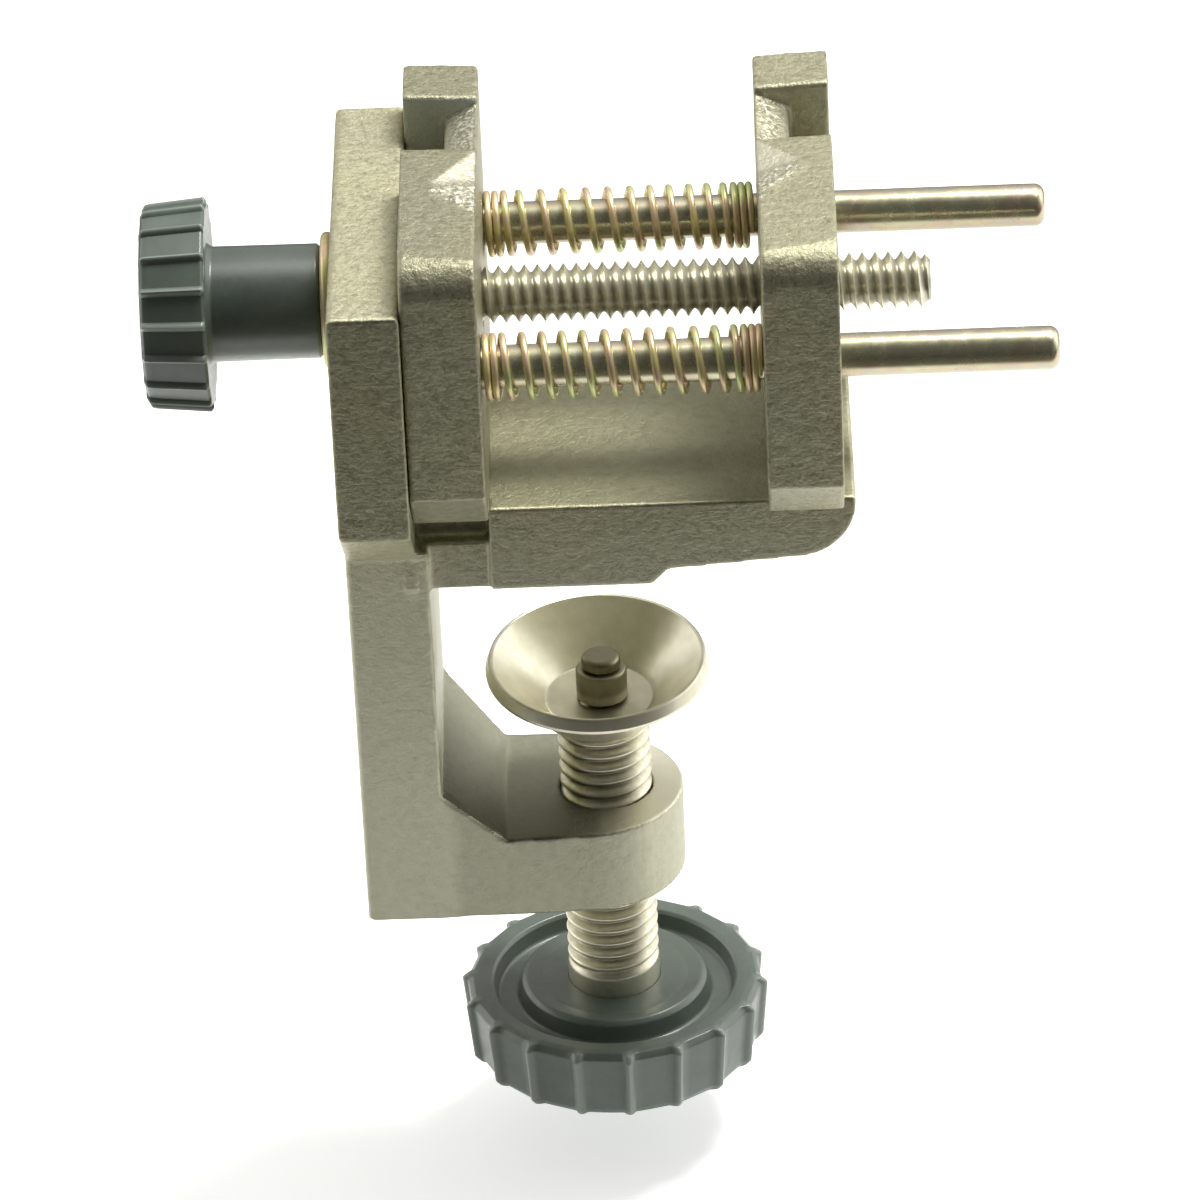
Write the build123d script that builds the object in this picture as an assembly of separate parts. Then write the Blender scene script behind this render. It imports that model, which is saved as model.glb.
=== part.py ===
from build123d import *
import os
from math import atan2, cos, degrees, pi, radians, sin, tan

# Small table-edge bench vise: a cast C-frame clamps over a table edge, a fixed
# jaw is bolted to its column, and a moving jaw slides on two guide rods, pulled
# in by a leadscrew and pushed out by two compression springs.
#
# Millimetres. Origin: on the flat underside of the bed (the face that sits on
# the table), on the axis of the clamp screw. X runs along the leadscrew towards
# the moving jaw, Y across the jaws towards their notched rear end, Z up.

EXTRA = 1.0             # cutters and joined bodies run this far past a face
RUN_CLEAR = 0.06        # radial running clearance
SIDES = (-1, 1)         # front and back

# leadscrew and guide rods
SCREW_Z = 21.8          # height of leadscrew and rods above the table seat
LEAD_D = 4.76           # leadscrew major diameter
LEAD_X1 = 28.2          # free end of the leadscrew
LEAD_BORE_D = LEAD_D + 2 * RUN_CLEAR
LEAD_HEX_AF = 7.0       # hex head, across flats
LEAD_HEX_H = 3.0
ROD_D = 3.55
ROD_Y = 12.0            # guide rods at +/- this Y
ROD_X0, ROD_X1 = -19.0, 38.1

# frame casting
COL_X0 = -20.3          # outer face of the column
COL_JAW_X = -14.5       # face that carries the fixed jaw
COL_THROAT_X = -13.55   # inner face of the column in the throat
COL_TOP = 29.8
COL_FRONT = 17.9        # the upper column reaches this far to -Y
COL_BACK = 18.3         # and this far to +Y
COL_BEND_Z = 9.4        # upper column ends here
COL_WAIST_Z = 3.2       # and has narrowed to the bed's width here
COL_FOOT = 8.4          # half width at the bottom
BED_TOP = 7.6
BED_HALF = 10.4         # half width
BED_X1 = 21.5
BED_R = 5.0             # lower corner of the bed's free end
LEDGE_Z = 4.3           # low ledge beside the bed, under the fixed jaw
ROOT_HALF = 8.6         # half width of the bed's root above the ledge
SEAT_X1 = 4.8           # end of the flat table seat
ARM_TOP = -25.7
ARM_BOT = -33.4
ARM_HALF = 8.1          # radius of the arm's round end, and its front half width
ARM_BACK = 8.5          # rear half width
ARM_X1 = 6.5
GUSSET = 5.2            # length of the corner brace along the arm
GUSSET_FRONT = 5.1      # its height at the front
GUSSET_BACK = 7.1       # and at the back
GUSSET_ROOT = 0.6       # how far it is sunk into column and arm
FRAME_ROUND = 0.5       # small edge radius

# jaws
JAW_T = 6.15            # thickness along X
JAW_FRONT = 17.3        # the jaws reach this far to -Y
JAW_BACK = 18.0         # and this far to +Y
JAW_TOP = 33.8
JAW_BOT = 7.7
FIX_X0 = COL_JAW_X + 0.05
FIX_X1 = FIX_X0 + JAW_T
MOV_X0 = 14.35
MOV_X1 = MOV_X0 + JAW_T
TOP_FALL = 0.30         # jaw tops fall towards the gap by this much
FRONT_R = 3.1           # rounded top front edge
CHAMFER = 4.9           # chamfer under both ends of a jaw
NOTCH_Y0, NOTCH_Y1 = 3.3, 12.2
NOTCH_DEPTH = 6.4
WEB = 2.8               # wall left between the notch and the gripping face
WEB_DROP = 1.0          # top of that wall below the jaw top, at the gap
WEB_SLOPE = tan(radians(23))
DISH_R = 4.9            # shallow dish in the gripping edge
DISH_Y = -2.6
DISH_DEPTH = 1.7
JAW_ROUND = 0.4         # small edge radius

# jaw screws: two countersunk machine screws from the outer face of the column
JAW_SCREW_Y, JAW_SCREW_Z = 8.0, 13.6
JAW_SCREW_D = 3.0
JAW_SCREW_HEAD_D = 5.8
JAW_SCREW_HOLE_X1 = -10.6   # bottom of the hole in the fixed jaw
JAW_SCREW_X0 = COL_X0 + 0.05
SINK_DEPTH = 1.6        # countersink
HEAD_LEN = 1.5
SLOT_W = 0.8

# springs
WIRE = 0.60
SPRING_OD = 5.6
END_COILS = 2.5         # closed coils at each end
OPEN_COILS = 11.5
CLOSED_PITCH = WIRE + 0.02
PITCH_EASE = 0.35       # turns over which the pitch changes
POINTS_PER_TURN = 10
SUBSTEPS = 8            # integration steps between points

# ribs on both knobs
RIBS = 18
RIB_R = 0.7

# leadscrew knob
LEAD_KNOB_X0, LEAD_KNOB_X1 = -35.85, -30.5
LEAD_KNOB_D = 17.5      # over the ribs at the end next to the hub
LEAD_KNOB_D_END = 16.7  # over the ribs at the free end
LEAD_RIB_ANGLE = 3.2    # turn of the first rib
HUB_D = 9.4
HUB_X1 = -21.35
WASHER_D = 11.2
LEAD_X0 = LEAD_KNOB_X0 + 4.0

# swivel pad and the clamp screw's end in it
CLAMP_D = 7.8           # clamp screw major diameter
PAD_RIM_Z = -12.85      # rim of the cup when level
PAD_D = 18.8
PAD_DEPTH = 4.2
PAD_T = 1.1
PAD_FLOOR_D = 9.0
PAD_HOLE_R = 1.8
PAD_TILT = 4.5          # the loose cup leans forward by this angle
PAD_SHIFT = -0.3        # and sits this far off the screw's axis in X
PAD_FLOOR = PAD_RIM_Z - PAD_DEPTH       # upper side of the cup's floor
PAD_UNDER = PAD_FLOOR - PAD_T
SHOULDER_Z = PAD_UNDER - 0.25           # end of the thick part of the screw
SPIGOT_D = 2.7
SPIGOT_HEAD_D = 3.3
SPIGOT_HEAD_H = 1.2
BUSH_D = 4.3
BUSH_Z0 = PAD_FLOOR + 0.22
BUSH_Z1 = BUSH_Z0 + 2.7

# clamp knob
CLAMP_KNOB_TOP = -45.1
CLAMP_KNOB_H = 7.1
CLAMP_KNOB_D = 26.3     # over the ribs at the top edge
CLAMP_KNOB_D_END = 25.3 # over the ribs at the bottom edge
CLAMP_RIB_ANGLE = 15
CLAMP_HEX_AF = 12.0
CLAMP_HEX_H = 3.4


# ------------------------------------------------------------------- helpers
def polygon(plane, *points):
    return plane * make_face(Polyline(*points, close=True))


def block(x0, x1, y0, y1, z0, z1):
    return Pos((x0 + x1) / 2, (y0 + y1) / 2, (z0 + z1) / 2) * Box(
        x1 - x0, y1 - y0, z1 - z0
    )


def xcyl(x0, x1, diameter, y=0.0, z=SCREW_Z):
    return Pos((x0 + x1) / 2, y, z) * Rot(0, 90, 0) * Cylinder(diameter / 2, x1 - x0)


def xcone(x0, length, radius0, radius1, y, z):
    return Pos(x0 + length / 2, y, z) * Rot(0, 90, 0) * Cone(radius0, radius1, length)


def zcyl(z0, z1, diameter, x=0.0):
    return Pos(x, 0, (z0 + z1) / 2) * Cylinder(diameter / 2, z1 - z0)


def spin_x(*points, z=SCREW_Z):
    """Revolve (x, radius) points about the line along X at height z."""
    plane = Plane(origin=(0, 0, z), x_dir=(1, 0, 0), z_dir=(0, -1, 0))
    return revolve(polygon(plane, *points), Axis((0, 0, z), (1, 0, 0)), 360)


def spin_z(*points):
    """Revolve (radius, z) points about the clamp screw axis."""
    return revolve(polygon(Plane.XZ, *points), Axis.Z, 360)


def hexagon(across_flats):
    return RegularPolygon(across_flats / 2 / cos(pi / 6), 6)


def round_edges(part, radius, wanted):
    """Fillet the wanted edges one at a time."""
    done = part
    for target in [e for e in part.edges() if wanted(e)]:
        # an edge changed by an earlier fillet, or too tight to round, stays as it is
        try:
            done = fillet(
                [
                    e
                    for e in done.edges()
                    if (e.center() - target.center()).length < 0.02
                    and abs(e.length - target.length) < 0.05
                ],
                radius,
            )
        except Exception:
            pass
    return done


def near(value, target):
    return abs(value - target) < 0.01


def save(name, shape):
    shape.label = name
    export_step(shape, "parts/" + name + ".step")


# --------------------------------------------------------------------- frame
def make_column():
    column = extrude(
        polygon(
            Plane.YZ.offset(COL_X0),
            (COL_BACK, COL_TOP),
            (COL_BACK, COL_BEND_Z),
            (BED_HALF, COL_WAIST_Z),
            (COL_FOOT, ARM_BOT),
            (-COL_FOOT, ARM_BOT),
            (-BED_HALF, COL_WAIST_Z),
            (-COL_FRONT, COL_BEND_Z),
            (-COL_FRONT, COL_TOP),
        ),
        COL_THROAT_X - COL_X0,
    )
    # above the ledge the column is thinner, to seat the fixed jaw
    return column - block(COL_JAW_X, 0, -30, 30, LEDGE_Z, 60)


def make_bed():
    bed = extrude(
        polygon(
            Plane.XZ,
            (COL_JAW_X - EXTRA, 0),
            (SEAT_X1, 0),
            (SEAT_X1 + 1.2, 1.3),
            (BED_X1 - 5.4, 2.05),
            (BED_X1, 2.3),
            (BED_X1, BED_TOP),
            (COL_JAW_X - EXTRA, BED_TOP),
        ),
        BED_HALF,
        both=True,
    )
    bed = fillet(
        bed.edges().filter_by(Axis.Y).sort_by(lambda e: e.center().X - e.center().Z)[-1],
        BED_R,
    )
    # under the fixed jaw the root of the bed is cut back, leaving a low ledge
    root_x1 = FIX_X1 - 0.15
    for half_width, z0 in ((BED_HALF - 0.5, -1), (ROOT_HALF, LEDGE_Z)):
        for side in SIDES:
            y0, y1 = sorted((side * half_width, side * (BED_HALF + EXTRA)))
            bed -= block(COL_JAW_X, root_x1, y0, y1, z0, 20)
    return bed


def make_arm():
    end_x = ARM_X1 - ARM_HALF   # centre of the round end
    arm = extrude(
        polygon(
            Plane.XY.offset(ARM_BOT),
            (COL_THROAT_X - EXTRA, -ARM_HALF),
            (end_x, -ARM_HALF),
            (end_x, ARM_HALF),
            (COL_THROAT_X - EXTRA, ARM_BACK),
        ),
        ARM_TOP - ARM_BOT,
    )
    return arm + zcyl(ARM_BOT, ARM_TOP, 2 * ARM_HALF, end_x)


def gusset_section(y, height):
    """Section of the corner brace in the plane at this Y."""
    return polygon(
        Plane(origin=(0, y, 0), x_dir=(1, 0, 0), z_dir=(0, -1, 0)),
        (COL_THROAT_X - GUSSET_ROOT, ARM_TOP - GUSSET_ROOT),
        (COL_THROAT_X + GUSSET, ARM_TOP - GUSSET_ROOT),
        (COL_THROAT_X + GUSSET, ARM_TOP),
        (COL_THROAT_X, ARM_TOP + height),
        (COL_THROAT_X - GUSSET_ROOT, ARM_TOP + height),
    )


def frame_edge_wanted(edge):
    """Edges of the outer face, the column top and the bed's free end."""
    center = edge.center()
    return (
        edge.geom_type == GeomType.LINE
        and edge.length > 3
        and (
            near(center.X, COL_X0)
            or near(center.Z, COL_TOP)
            or (near(center.X, BED_X1) and center.Z > 4)
        )
        and abs(center.Y) > 0.01
    )


def make_frame():
    gusset = loft(
        [gusset_section(-ARM_HALF, GUSSET_FRONT), gusset_section(ARM_HALF, GUSSET_BACK)],
        ruled=True,
    )
    frame = make_column() + make_bed() + make_arm() + gusset
    hole_x0, hole_x1 = COL_X0 - EXTRA, COL_JAW_X + EXTRA
    frame -= xcyl(hole_x0, hole_x1, LEAD_BORE_D)
    for side in SIDES:
        frame -= xcyl(ROD_X0, hole_x1, ROD_D, side * ROD_Y)
    frame -= zcyl(ARM_BOT - EXTRA, ARM_TOP + EXTRA, CLAMP_D + 2 * RUN_CLEAR)
    for side in SIDES:
        y = side * JAW_SCREW_Y
        frame -= xcyl(hole_x0, hole_x1, JAW_SCREW_D + 0.3, y, JAW_SCREW_Z)
        frame -= xcone(
            COL_X0, SINK_DEPTH,
            JAW_SCREW_HEAD_D / 2 + 0.02, JAW_SCREW_D / 2 + 0.17,
            y, JAW_SCREW_Z,
        )
    return round_edges(frame, FRAME_ROUND, frame_edge_wanted)


# ---------------------------------------------------------------------- jaws
def make_jaw(x_back, x_grip):
    """Jaw block; x_grip is the gripping face, x_back the face away from it."""
    body = extrude(
        polygon(
            Plane.YZ.offset(min(x_back, x_grip)),
            (-JAW_FRONT, JAW_TOP),
            (-JAW_FRONT, JAW_BOT + CHAMFER),
            (-JAW_FRONT + CHAMFER, JAW_BOT),
            (JAW_BACK - CHAMFER, JAW_BOT),
            (JAW_BACK, JAW_BOT + CHAMFER),
            (JAW_BACK, JAW_TOP),
        ),
        abs(x_grip - x_back),
    )
    front_top = [
        e
        for e in body.edges().filter_by(Axis.X)
        if e.center().Y < -JAW_FRONT + 0.1 and e.center().Z > JAW_TOP - 0.1
    ]
    body = fillet(front_top, FRONT_R)

    # notch across the jaw near its rear end; a wall stays next to the gap
    to_gap = 1 if x_grip > x_back else -1
    x_web = x_grip - to_gap * WEB
    x_past_back = x_back - to_gap * EXTRA
    x_past_grip = x_grip + to_gap * EXTRA
    z_floor = JAW_TOP - NOTCH_DEPTH
    z_web = JAW_TOP - WEB_DROP
    body -= extrude(
        polygon(
            Plane.XZ.offset(-NOTCH_Y1),
            (x_past_back, JAW_TOP + 2),
            (x_past_back, z_floor),
            (x_web, z_floor),
            (x_web, z_web - WEB * WEB_SLOPE),
            (x_past_grip, z_web + EXTRA * WEB_SLOPE),
            (x_past_grip, JAW_TOP + 2),
        ),
        NOTCH_Y1 - NOTCH_Y0,
    )

    # top face falls slightly towards the gap
    body -= extrude(
        polygon(
            Plane.XZ.offset(-JAW_BACK - EXTRA),
            (x_back, JAW_TOP),
            (x_grip, JAW_TOP - TOP_FALL),
            (x_past_grip, JAW_TOP - TOP_FALL),
            (x_past_grip, JAW_TOP + 3),
            (x_back, JAW_TOP + 3),
        ),
        JAW_FRONT + JAW_BACK + 2 * EXTRA,
    )

    # shallow dish in the gripping edge, a slice of a sphere
    sphere_r = (DISH_R**2 + DISH_DEPTH**2) / (2 * DISH_DEPTH)
    return body - Pos(x_grip, DISH_Y, JAW_TOP + sphere_r - DISH_DEPTH) * Sphere(sphere_r)


def jaw_edge_wanted(edge):
    """Edges of both jaw ends and the rear top edge of the notch."""
    center = edge.center()
    return (
        edge.geom_type == GeomType.LINE
        and edge.length > 4
        and (
            near(center.Y, -JAW_FRONT)
            or near(center.Y, JAW_BACK)
            or (near(center.Y, NOTCH_Y1) and center.Z > JAW_TOP - 1)
        )
    )


def make_fixed_jaw():
    jaw = make_jaw(FIX_X0, FIX_X1)
    hole_x0, hole_x1 = FIX_X0 - EXTRA, FIX_X1 + EXTRA
    jaw -= xcyl(hole_x0, hole_x1, LEAD_BORE_D)
    for side in SIDES:
        jaw -= xcyl(hole_x0, hole_x1, ROD_D, side * ROD_Y)
        jaw -= xcyl(
            hole_x0, JAW_SCREW_HOLE_X1, JAW_SCREW_D, side * JAW_SCREW_Y, JAW_SCREW_Z
        )
    return round_edges(jaw, JAW_ROUND, jaw_edge_wanted)


def make_moving_jaw():
    jaw = make_jaw(MOV_X1, MOV_X0)
    hole_x0, hole_x1 = MOV_X0 - EXTRA, MOV_X1 + EXTRA
    jaw -= xcyl(hole_x0, hole_x1, LEAD_BORE_D)
    for side in SIDES:
        jaw -= xcyl(hole_x0, hole_x1, ROD_D + 2 * RUN_CLEAR, side * ROD_Y)
    return round_edges(jaw, JAW_ROUND, jaw_edge_wanted)


def make_jaw_screw(y):
    z = JAW_SCREW_Z
    head = xcone(
        JAW_SCREW_X0, HEAD_LEN, JAW_SCREW_HEAD_D / 2 - 0.05, JAW_SCREW_D / 2, y, z
    )
    shank = xcyl(JAW_SCREW_X0 + 0.7, JAW_SCREW_HOLE_X1 - 0.3, JAW_SCREW_D, y, z)
    slot = block(
        COL_X0 - EXTRA, COL_X0 + 0.75, y - 4, y + 4, z - SLOT_W / 2, z + SLOT_W / 2
    )
    return head + shank - slot


# ------------------------------------------------------ guide rods and springs
def make_rod():
    """Guide rod with a bevelled inner end and a domed free end."""
    r = ROD_D / 2
    return spin_x(
        (ROD_X0, 0),
        (ROD_X0, r - 0.3),
        (ROD_X0 + 0.3, r),
        (ROD_X1 - 0.95, r),
        (ROD_X1 - 0.6, r - 0.1),
        (ROD_X1 - 0.22, r - 0.42),
        (ROD_X1, r - 0.95),
        (ROD_X1, 0),
        z=SCREW_Z,
    )


def spring_points(x0, x1):
    """Right-hand helix about +X, with closed end coils and an open middle."""
    turns = 2 * END_COILS + OPEN_COILS
    open_pitch = (x1 - x0 - 2 * END_COILS * CLOSED_PITCH) / OPEN_COILS

    def pitch(turn):
        rise = min(max((turn - END_COILS) / PITCH_EASE * 0.5 + 0.5, 0), 1)
        fall = min(max((turns - END_COILS - turn) / PITCH_EASE * 0.5 + 0.5, 0), 1)
        blend = min(rise, fall)
        blend = blend * blend * (3 - 2 * blend)
        return CLOSED_PITCH + (open_pitch - CLOSED_PITCH) * blend

    count = int(turns * POINTS_PER_TURN)
    steps = count * SUBSTEPS
    advance = [0.0]
    for i in range(steps):
        advance.append(advance[-1] + pitch((i + 0.5) / steps * turns) * turns / steps)
    scale = (x1 - x0) / advance[-1]
    r = (SPRING_OD - WIRE) / 2
    points = []
    for i in range(count + 1):
        angle = 2 * pi * (i / count * turns)
        x = x0 + advance[i * SUBSTEPS] * scale
        points.append((x, r * sin(angle), -r * cos(angle)))
    return points


def make_spring():
    inset = WIRE / 2 + 0.03
    path = Spline(*spring_points(FIX_X1 + inset, MOV_X0 - inset))
    section = Plane(origin=path @ 0, z_dir=path % 0) * Circle(WIRE / 2)
    return sweep(section, path=path, is_frenet=True)


# --------------------------------------------------------- leadscrew and knob
def make_lead_shaft():
    return spin_x(
        (LEAD_X0, 0),
        (LEAD_X0, LEAD_D / 2),
        (LEAD_X1 - 0.9, LEAD_D / 2),
        (LEAD_X1, LEAD_D / 2 - 0.8),
        (LEAD_X1, 0),
    )


def make_lead_hex():
    plane = Plane(
        origin=(LEAD_KNOB_X0 + 1.2, 0, SCREW_Z), x_dir=(0, 1, 0), z_dir=(1, 0, 0)
    )
    return extrude(plane * hexagon(LEAD_HEX_AF), LEAD_HEX_H)


def make_lead_knob(shaft, hex_head):
    """Ribbed head with a long plain hub, moulded over the hex head."""
    x0, x1 = LEAD_KNOB_X0, LEAD_KNOB_X1
    length = x1 - x0
    r_hub_end = LEAD_KNOB_D / 2 - RIB_R
    r_free_end = LEAD_KNOB_D_END / 2 - RIB_R
    knob = spin_x(
        (x0, 0),
        (x0, r_free_end - 0.6),
        (x0 + 0.5, r_free_end),
        (x1 - 0.2, r_hub_end),
        (x1, r_hub_end - 0.2),
        (x1, HUB_D / 2),
        (HUB_X1, HUB_D / 2),
        (HUB_X1, 0),
    )
    # one rib, leaning out towards the hub end
    rib = spin_x(
        (0.3, 0), (0.3, 0.45), (0.6, RIB_R), (length - 0.2, RIB_R), (length, 0.5),
        (length, 0),
        z=0,
    )
    lean = degrees(atan2(r_hub_end - r_free_end, length))
    rib = Pos(x0, r_free_end, 0) * Rot(0, 0, lean) * rib
    for i in range(RIBS):
        knob += Pos(0, 0, SCREW_Z) * Rot(LEAD_RIB_ANGLE + 360 * i / RIBS, 0, 0) * rib
    # trim the leaning ribs flush with the end faces
    knob = knob & spin_x(
        (x0, 0), (x0, LEAD_KNOB_D), (x1, LEAD_KNOB_D), (x1, HUB_D), (HUB_X1, HUB_D),
        (HUB_X1, 0),
    )
    knob -= shaft
    return knob - hex_head


# ---------------------------------------------------------------------- clamp
def make_clamp_shaft():
    r = CLAMP_D / 2
    z0 = CLAMP_KNOB_TOP - 4.2
    r_head = SPIGOT_HEAD_D / 2
    head_top = BUSH_Z1 + SPIGOT_HEAD_H
    return spin_z(
        (0, z0),
        (r, z0),
        (r, SHOULDER_Z - 1.1),
        (2.6, SHOULDER_Z),
        (SPIGOT_D / 2, SHOULDER_Z),
        (SPIGOT_D / 2, BUSH_Z1 + 0.12),
        (r_head, BUSH_Z1 + 0.12),
        (r_head, head_top - 0.35),
        (r_head - 0.4, head_top),
        (0, head_top),
    )


def make_pad():
    """Loose cup, tilted about the middle of its floor."""
    r_rim = PAD_D / 2
    r_floor = PAD_FLOOR_D / 2
    cup = spin_z(
        (PAD_HOLE_R, PAD_FLOOR),
        (r_floor, PAD_FLOOR),
        (r_rim - 0.45, PAD_RIM_Z - 0.05),
        (r_rim - 0.25, PAD_RIM_Z),
        (r_rim, PAD_RIM_Z - 0.25),
        (r_rim, PAD_RIM_Z - 1.2),
        (r_rim - 0.3, PAD_RIM_Z - 1.5),
        (r_floor + 0.5, PAD_UNDER),
        (PAD_HOLE_R, PAD_UNDER),
    )
    pivot_z = PAD_FLOOR - PAD_T / 2
    cup = Pos(0, 0, pivot_z) * Rot(PAD_TILT, 0, 0) * Pos(0, 0, -pivot_z) * cup
    return Pos(PAD_SHIFT, 0, 0) * cup


def make_clamp_knob(shaft, hex_head):
    """Ribbed disc with a sunk ring around a raised hub."""
    top, height = CLAMP_KNOB_TOP, CLAMP_KNOB_H
    bottom = top - height
    r_top = CLAMP_KNOB_D / 2 - RIB_R
    r_bottom = CLAMP_KNOB_D_END / 2 - RIB_R
    knob = spin_z(
        (0, bottom),
        (r_bottom - 1.5, bottom),
        (r_bottom, bottom + 0.9),
        (r_top, top - 0.7),
        (r_top - 0.7, top),
        (10.4, top),
        (10.1, top - 1.6),
        (8.1, top - 1.6),
        (7.9, top + 0.1),
        (7.5, top + 0.3),
        (0, top + 0.3),
    )
    rib = spin_z(
        (0, 0.4), (0.45, 0.4), (RIB_R, 0.8), (RIB_R, height - 0.6),
        (0.45, height - 0.3), (0, height - 0.3),
    )
    lean = degrees(atan2(r_top - r_bottom, height))
    rib = Pos(r_bottom, 0, bottom) * Rot(0, lean, 0) * rib
    for i in range(RIBS):
        knob += Rot(0, 0, CLAMP_RIB_ANGLE + 360 * i / RIBS) * rib
    knob -= shaft
    return knob - hex_head


# --------------------------------------------------------------------- output
os.makedirs("parts", exist_ok=True)

save("frame", make_frame())
save("fixed_jaw", make_fixed_jaw())
save("moving_jaw", make_moving_jaw())
jaw_screws = [make_jaw_screw(side * JAW_SCREW_Y).solid() for side in SIDES]
save("jaw_screws", Compound(children=jaw_screws))

rod = make_rod()
spring = make_spring()
for place, side in (("front", -1), ("back", 1)):
    save("guide_rod_" + place, Pos(0, side * ROD_Y, 0) * rod)
    save("spring_" + place, Pos(0, side * ROD_Y, SCREW_Z) * spring)

lead_shaft = make_lead_shaft()
lead_hex = make_lead_hex()
save("leadscrew", lead_shaft + lead_hex)
save("leadscrew_knob", make_lead_knob(lead_shaft, lead_hex))
save(
    "thrust_washer",
    xcyl(HUB_X1 + 0.04, COL_X0 - 0.05, WASHER_D)
    - xcyl(HUB_X1 - EXTRA, COL_X0 + EXTRA, LEAD_D + 0.3),
)

clamp_shaft = make_clamp_shaft()
clamp_hex = extrude(Pos(0, 0, CLAMP_KNOB_TOP - 4.9) * hexagon(CLAMP_HEX_AF), CLAMP_HEX_H)
save("clamp_screw", clamp_shaft + clamp_hex)
save(
    "pad_bush",
    zcyl(BUSH_Z0, BUSH_Z1, BUSH_D)
    - zcyl(BUSH_Z0 - EXTRA, BUSH_Z1 + EXTRA, SPIGOT_D + 0.16),
)
save("swivel_pad", make_pad())
save("clamp_knob", make_clamp_knob(clamp_shaft, clamp_hex))
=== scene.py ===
# A small clamp-on vise. The jaws slide along X: fixed jaw left (low X), moving jaw
# right, leadscrew and two sprung guide rods between them. The clamp screw stands on
# the Z axis, knob at the bottom and swivel pad on top. The front faces -Y.
import math
from contextlib import contextmanager

import bmesh
import bpy
import numpy as np
from mathutils import Matrix, Vector, noise
from mathutils.bvhtree import BVHTree


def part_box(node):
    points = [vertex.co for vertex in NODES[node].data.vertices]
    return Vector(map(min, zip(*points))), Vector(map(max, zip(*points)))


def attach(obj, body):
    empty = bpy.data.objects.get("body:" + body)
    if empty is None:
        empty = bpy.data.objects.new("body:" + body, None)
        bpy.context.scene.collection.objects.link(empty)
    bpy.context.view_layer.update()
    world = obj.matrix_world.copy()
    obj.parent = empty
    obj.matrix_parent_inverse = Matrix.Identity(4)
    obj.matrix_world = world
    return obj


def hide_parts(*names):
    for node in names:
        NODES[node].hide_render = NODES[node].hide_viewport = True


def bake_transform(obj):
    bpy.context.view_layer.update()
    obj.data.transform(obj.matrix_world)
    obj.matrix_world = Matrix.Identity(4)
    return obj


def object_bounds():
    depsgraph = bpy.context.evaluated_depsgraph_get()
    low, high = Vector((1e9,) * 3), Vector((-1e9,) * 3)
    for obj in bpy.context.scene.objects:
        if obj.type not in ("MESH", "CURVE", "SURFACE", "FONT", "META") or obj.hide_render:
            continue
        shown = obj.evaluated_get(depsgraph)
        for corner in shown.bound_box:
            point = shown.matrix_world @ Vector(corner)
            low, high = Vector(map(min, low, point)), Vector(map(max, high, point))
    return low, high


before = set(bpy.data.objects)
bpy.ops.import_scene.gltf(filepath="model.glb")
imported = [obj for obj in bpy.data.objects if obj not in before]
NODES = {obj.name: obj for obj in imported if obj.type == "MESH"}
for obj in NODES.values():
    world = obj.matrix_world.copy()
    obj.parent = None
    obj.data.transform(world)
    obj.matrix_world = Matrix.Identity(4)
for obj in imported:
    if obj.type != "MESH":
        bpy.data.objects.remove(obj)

CAD_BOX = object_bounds()
MM = 0.001
scene = bpy.context.scene


# ------------------------------------------------------------ driving dimensions
def low(node):
    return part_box(node)[0]


def high(node):
    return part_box(node)[1]


def middle(node):
    return (low(node) + high(node)) / 2


def half(node, axis):
    """Half the node's size along "x", "y" or "z"."""
    return (getattr(high(node), axis) - getattr(low(node), axis)) / 2


LEAD_Z = middle("guide_rod_front").z
ROD_R = half("guide_rod_front", "z")
FIXED_GRIP = high("fixed_jaw").x
MOVING_GRIP = low("moving_jaw").x
LEAD_AXIS = (0, 0, LEAD_Z)
LEAD_R = 2.38 * MM
LEAD_DEPTH = 0.66 * MM  # thread depth
LEAD_PITCH = 25.4 / 24 * MM
CLAMP_AXIS = (0, 0, 0)
CLAMP_R = 3.9 * MM
CLAMP_DEPTH = 0.58 * MM
CLAMP_PITCH = 1.25 * MM
PAD_GAP = 0.22 * MM  # from the bush down to the pad's floor
PAD_WALL = 1.1 * MM
VOXEL = 0.22 * MM


# ------------------------------------------------------------------ shader graphs
def srgb(red, green, blue):
    def linear(value):
        value /= 255.0
        return value / 12.92 if value <= 0.04045 else ((value + 0.055) / 1.055) ** 2.4

    return (linear(red), linear(green), linear(blue), 1.0)


BLACK = (0.0, 0.0, 0.0, 1)


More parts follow.
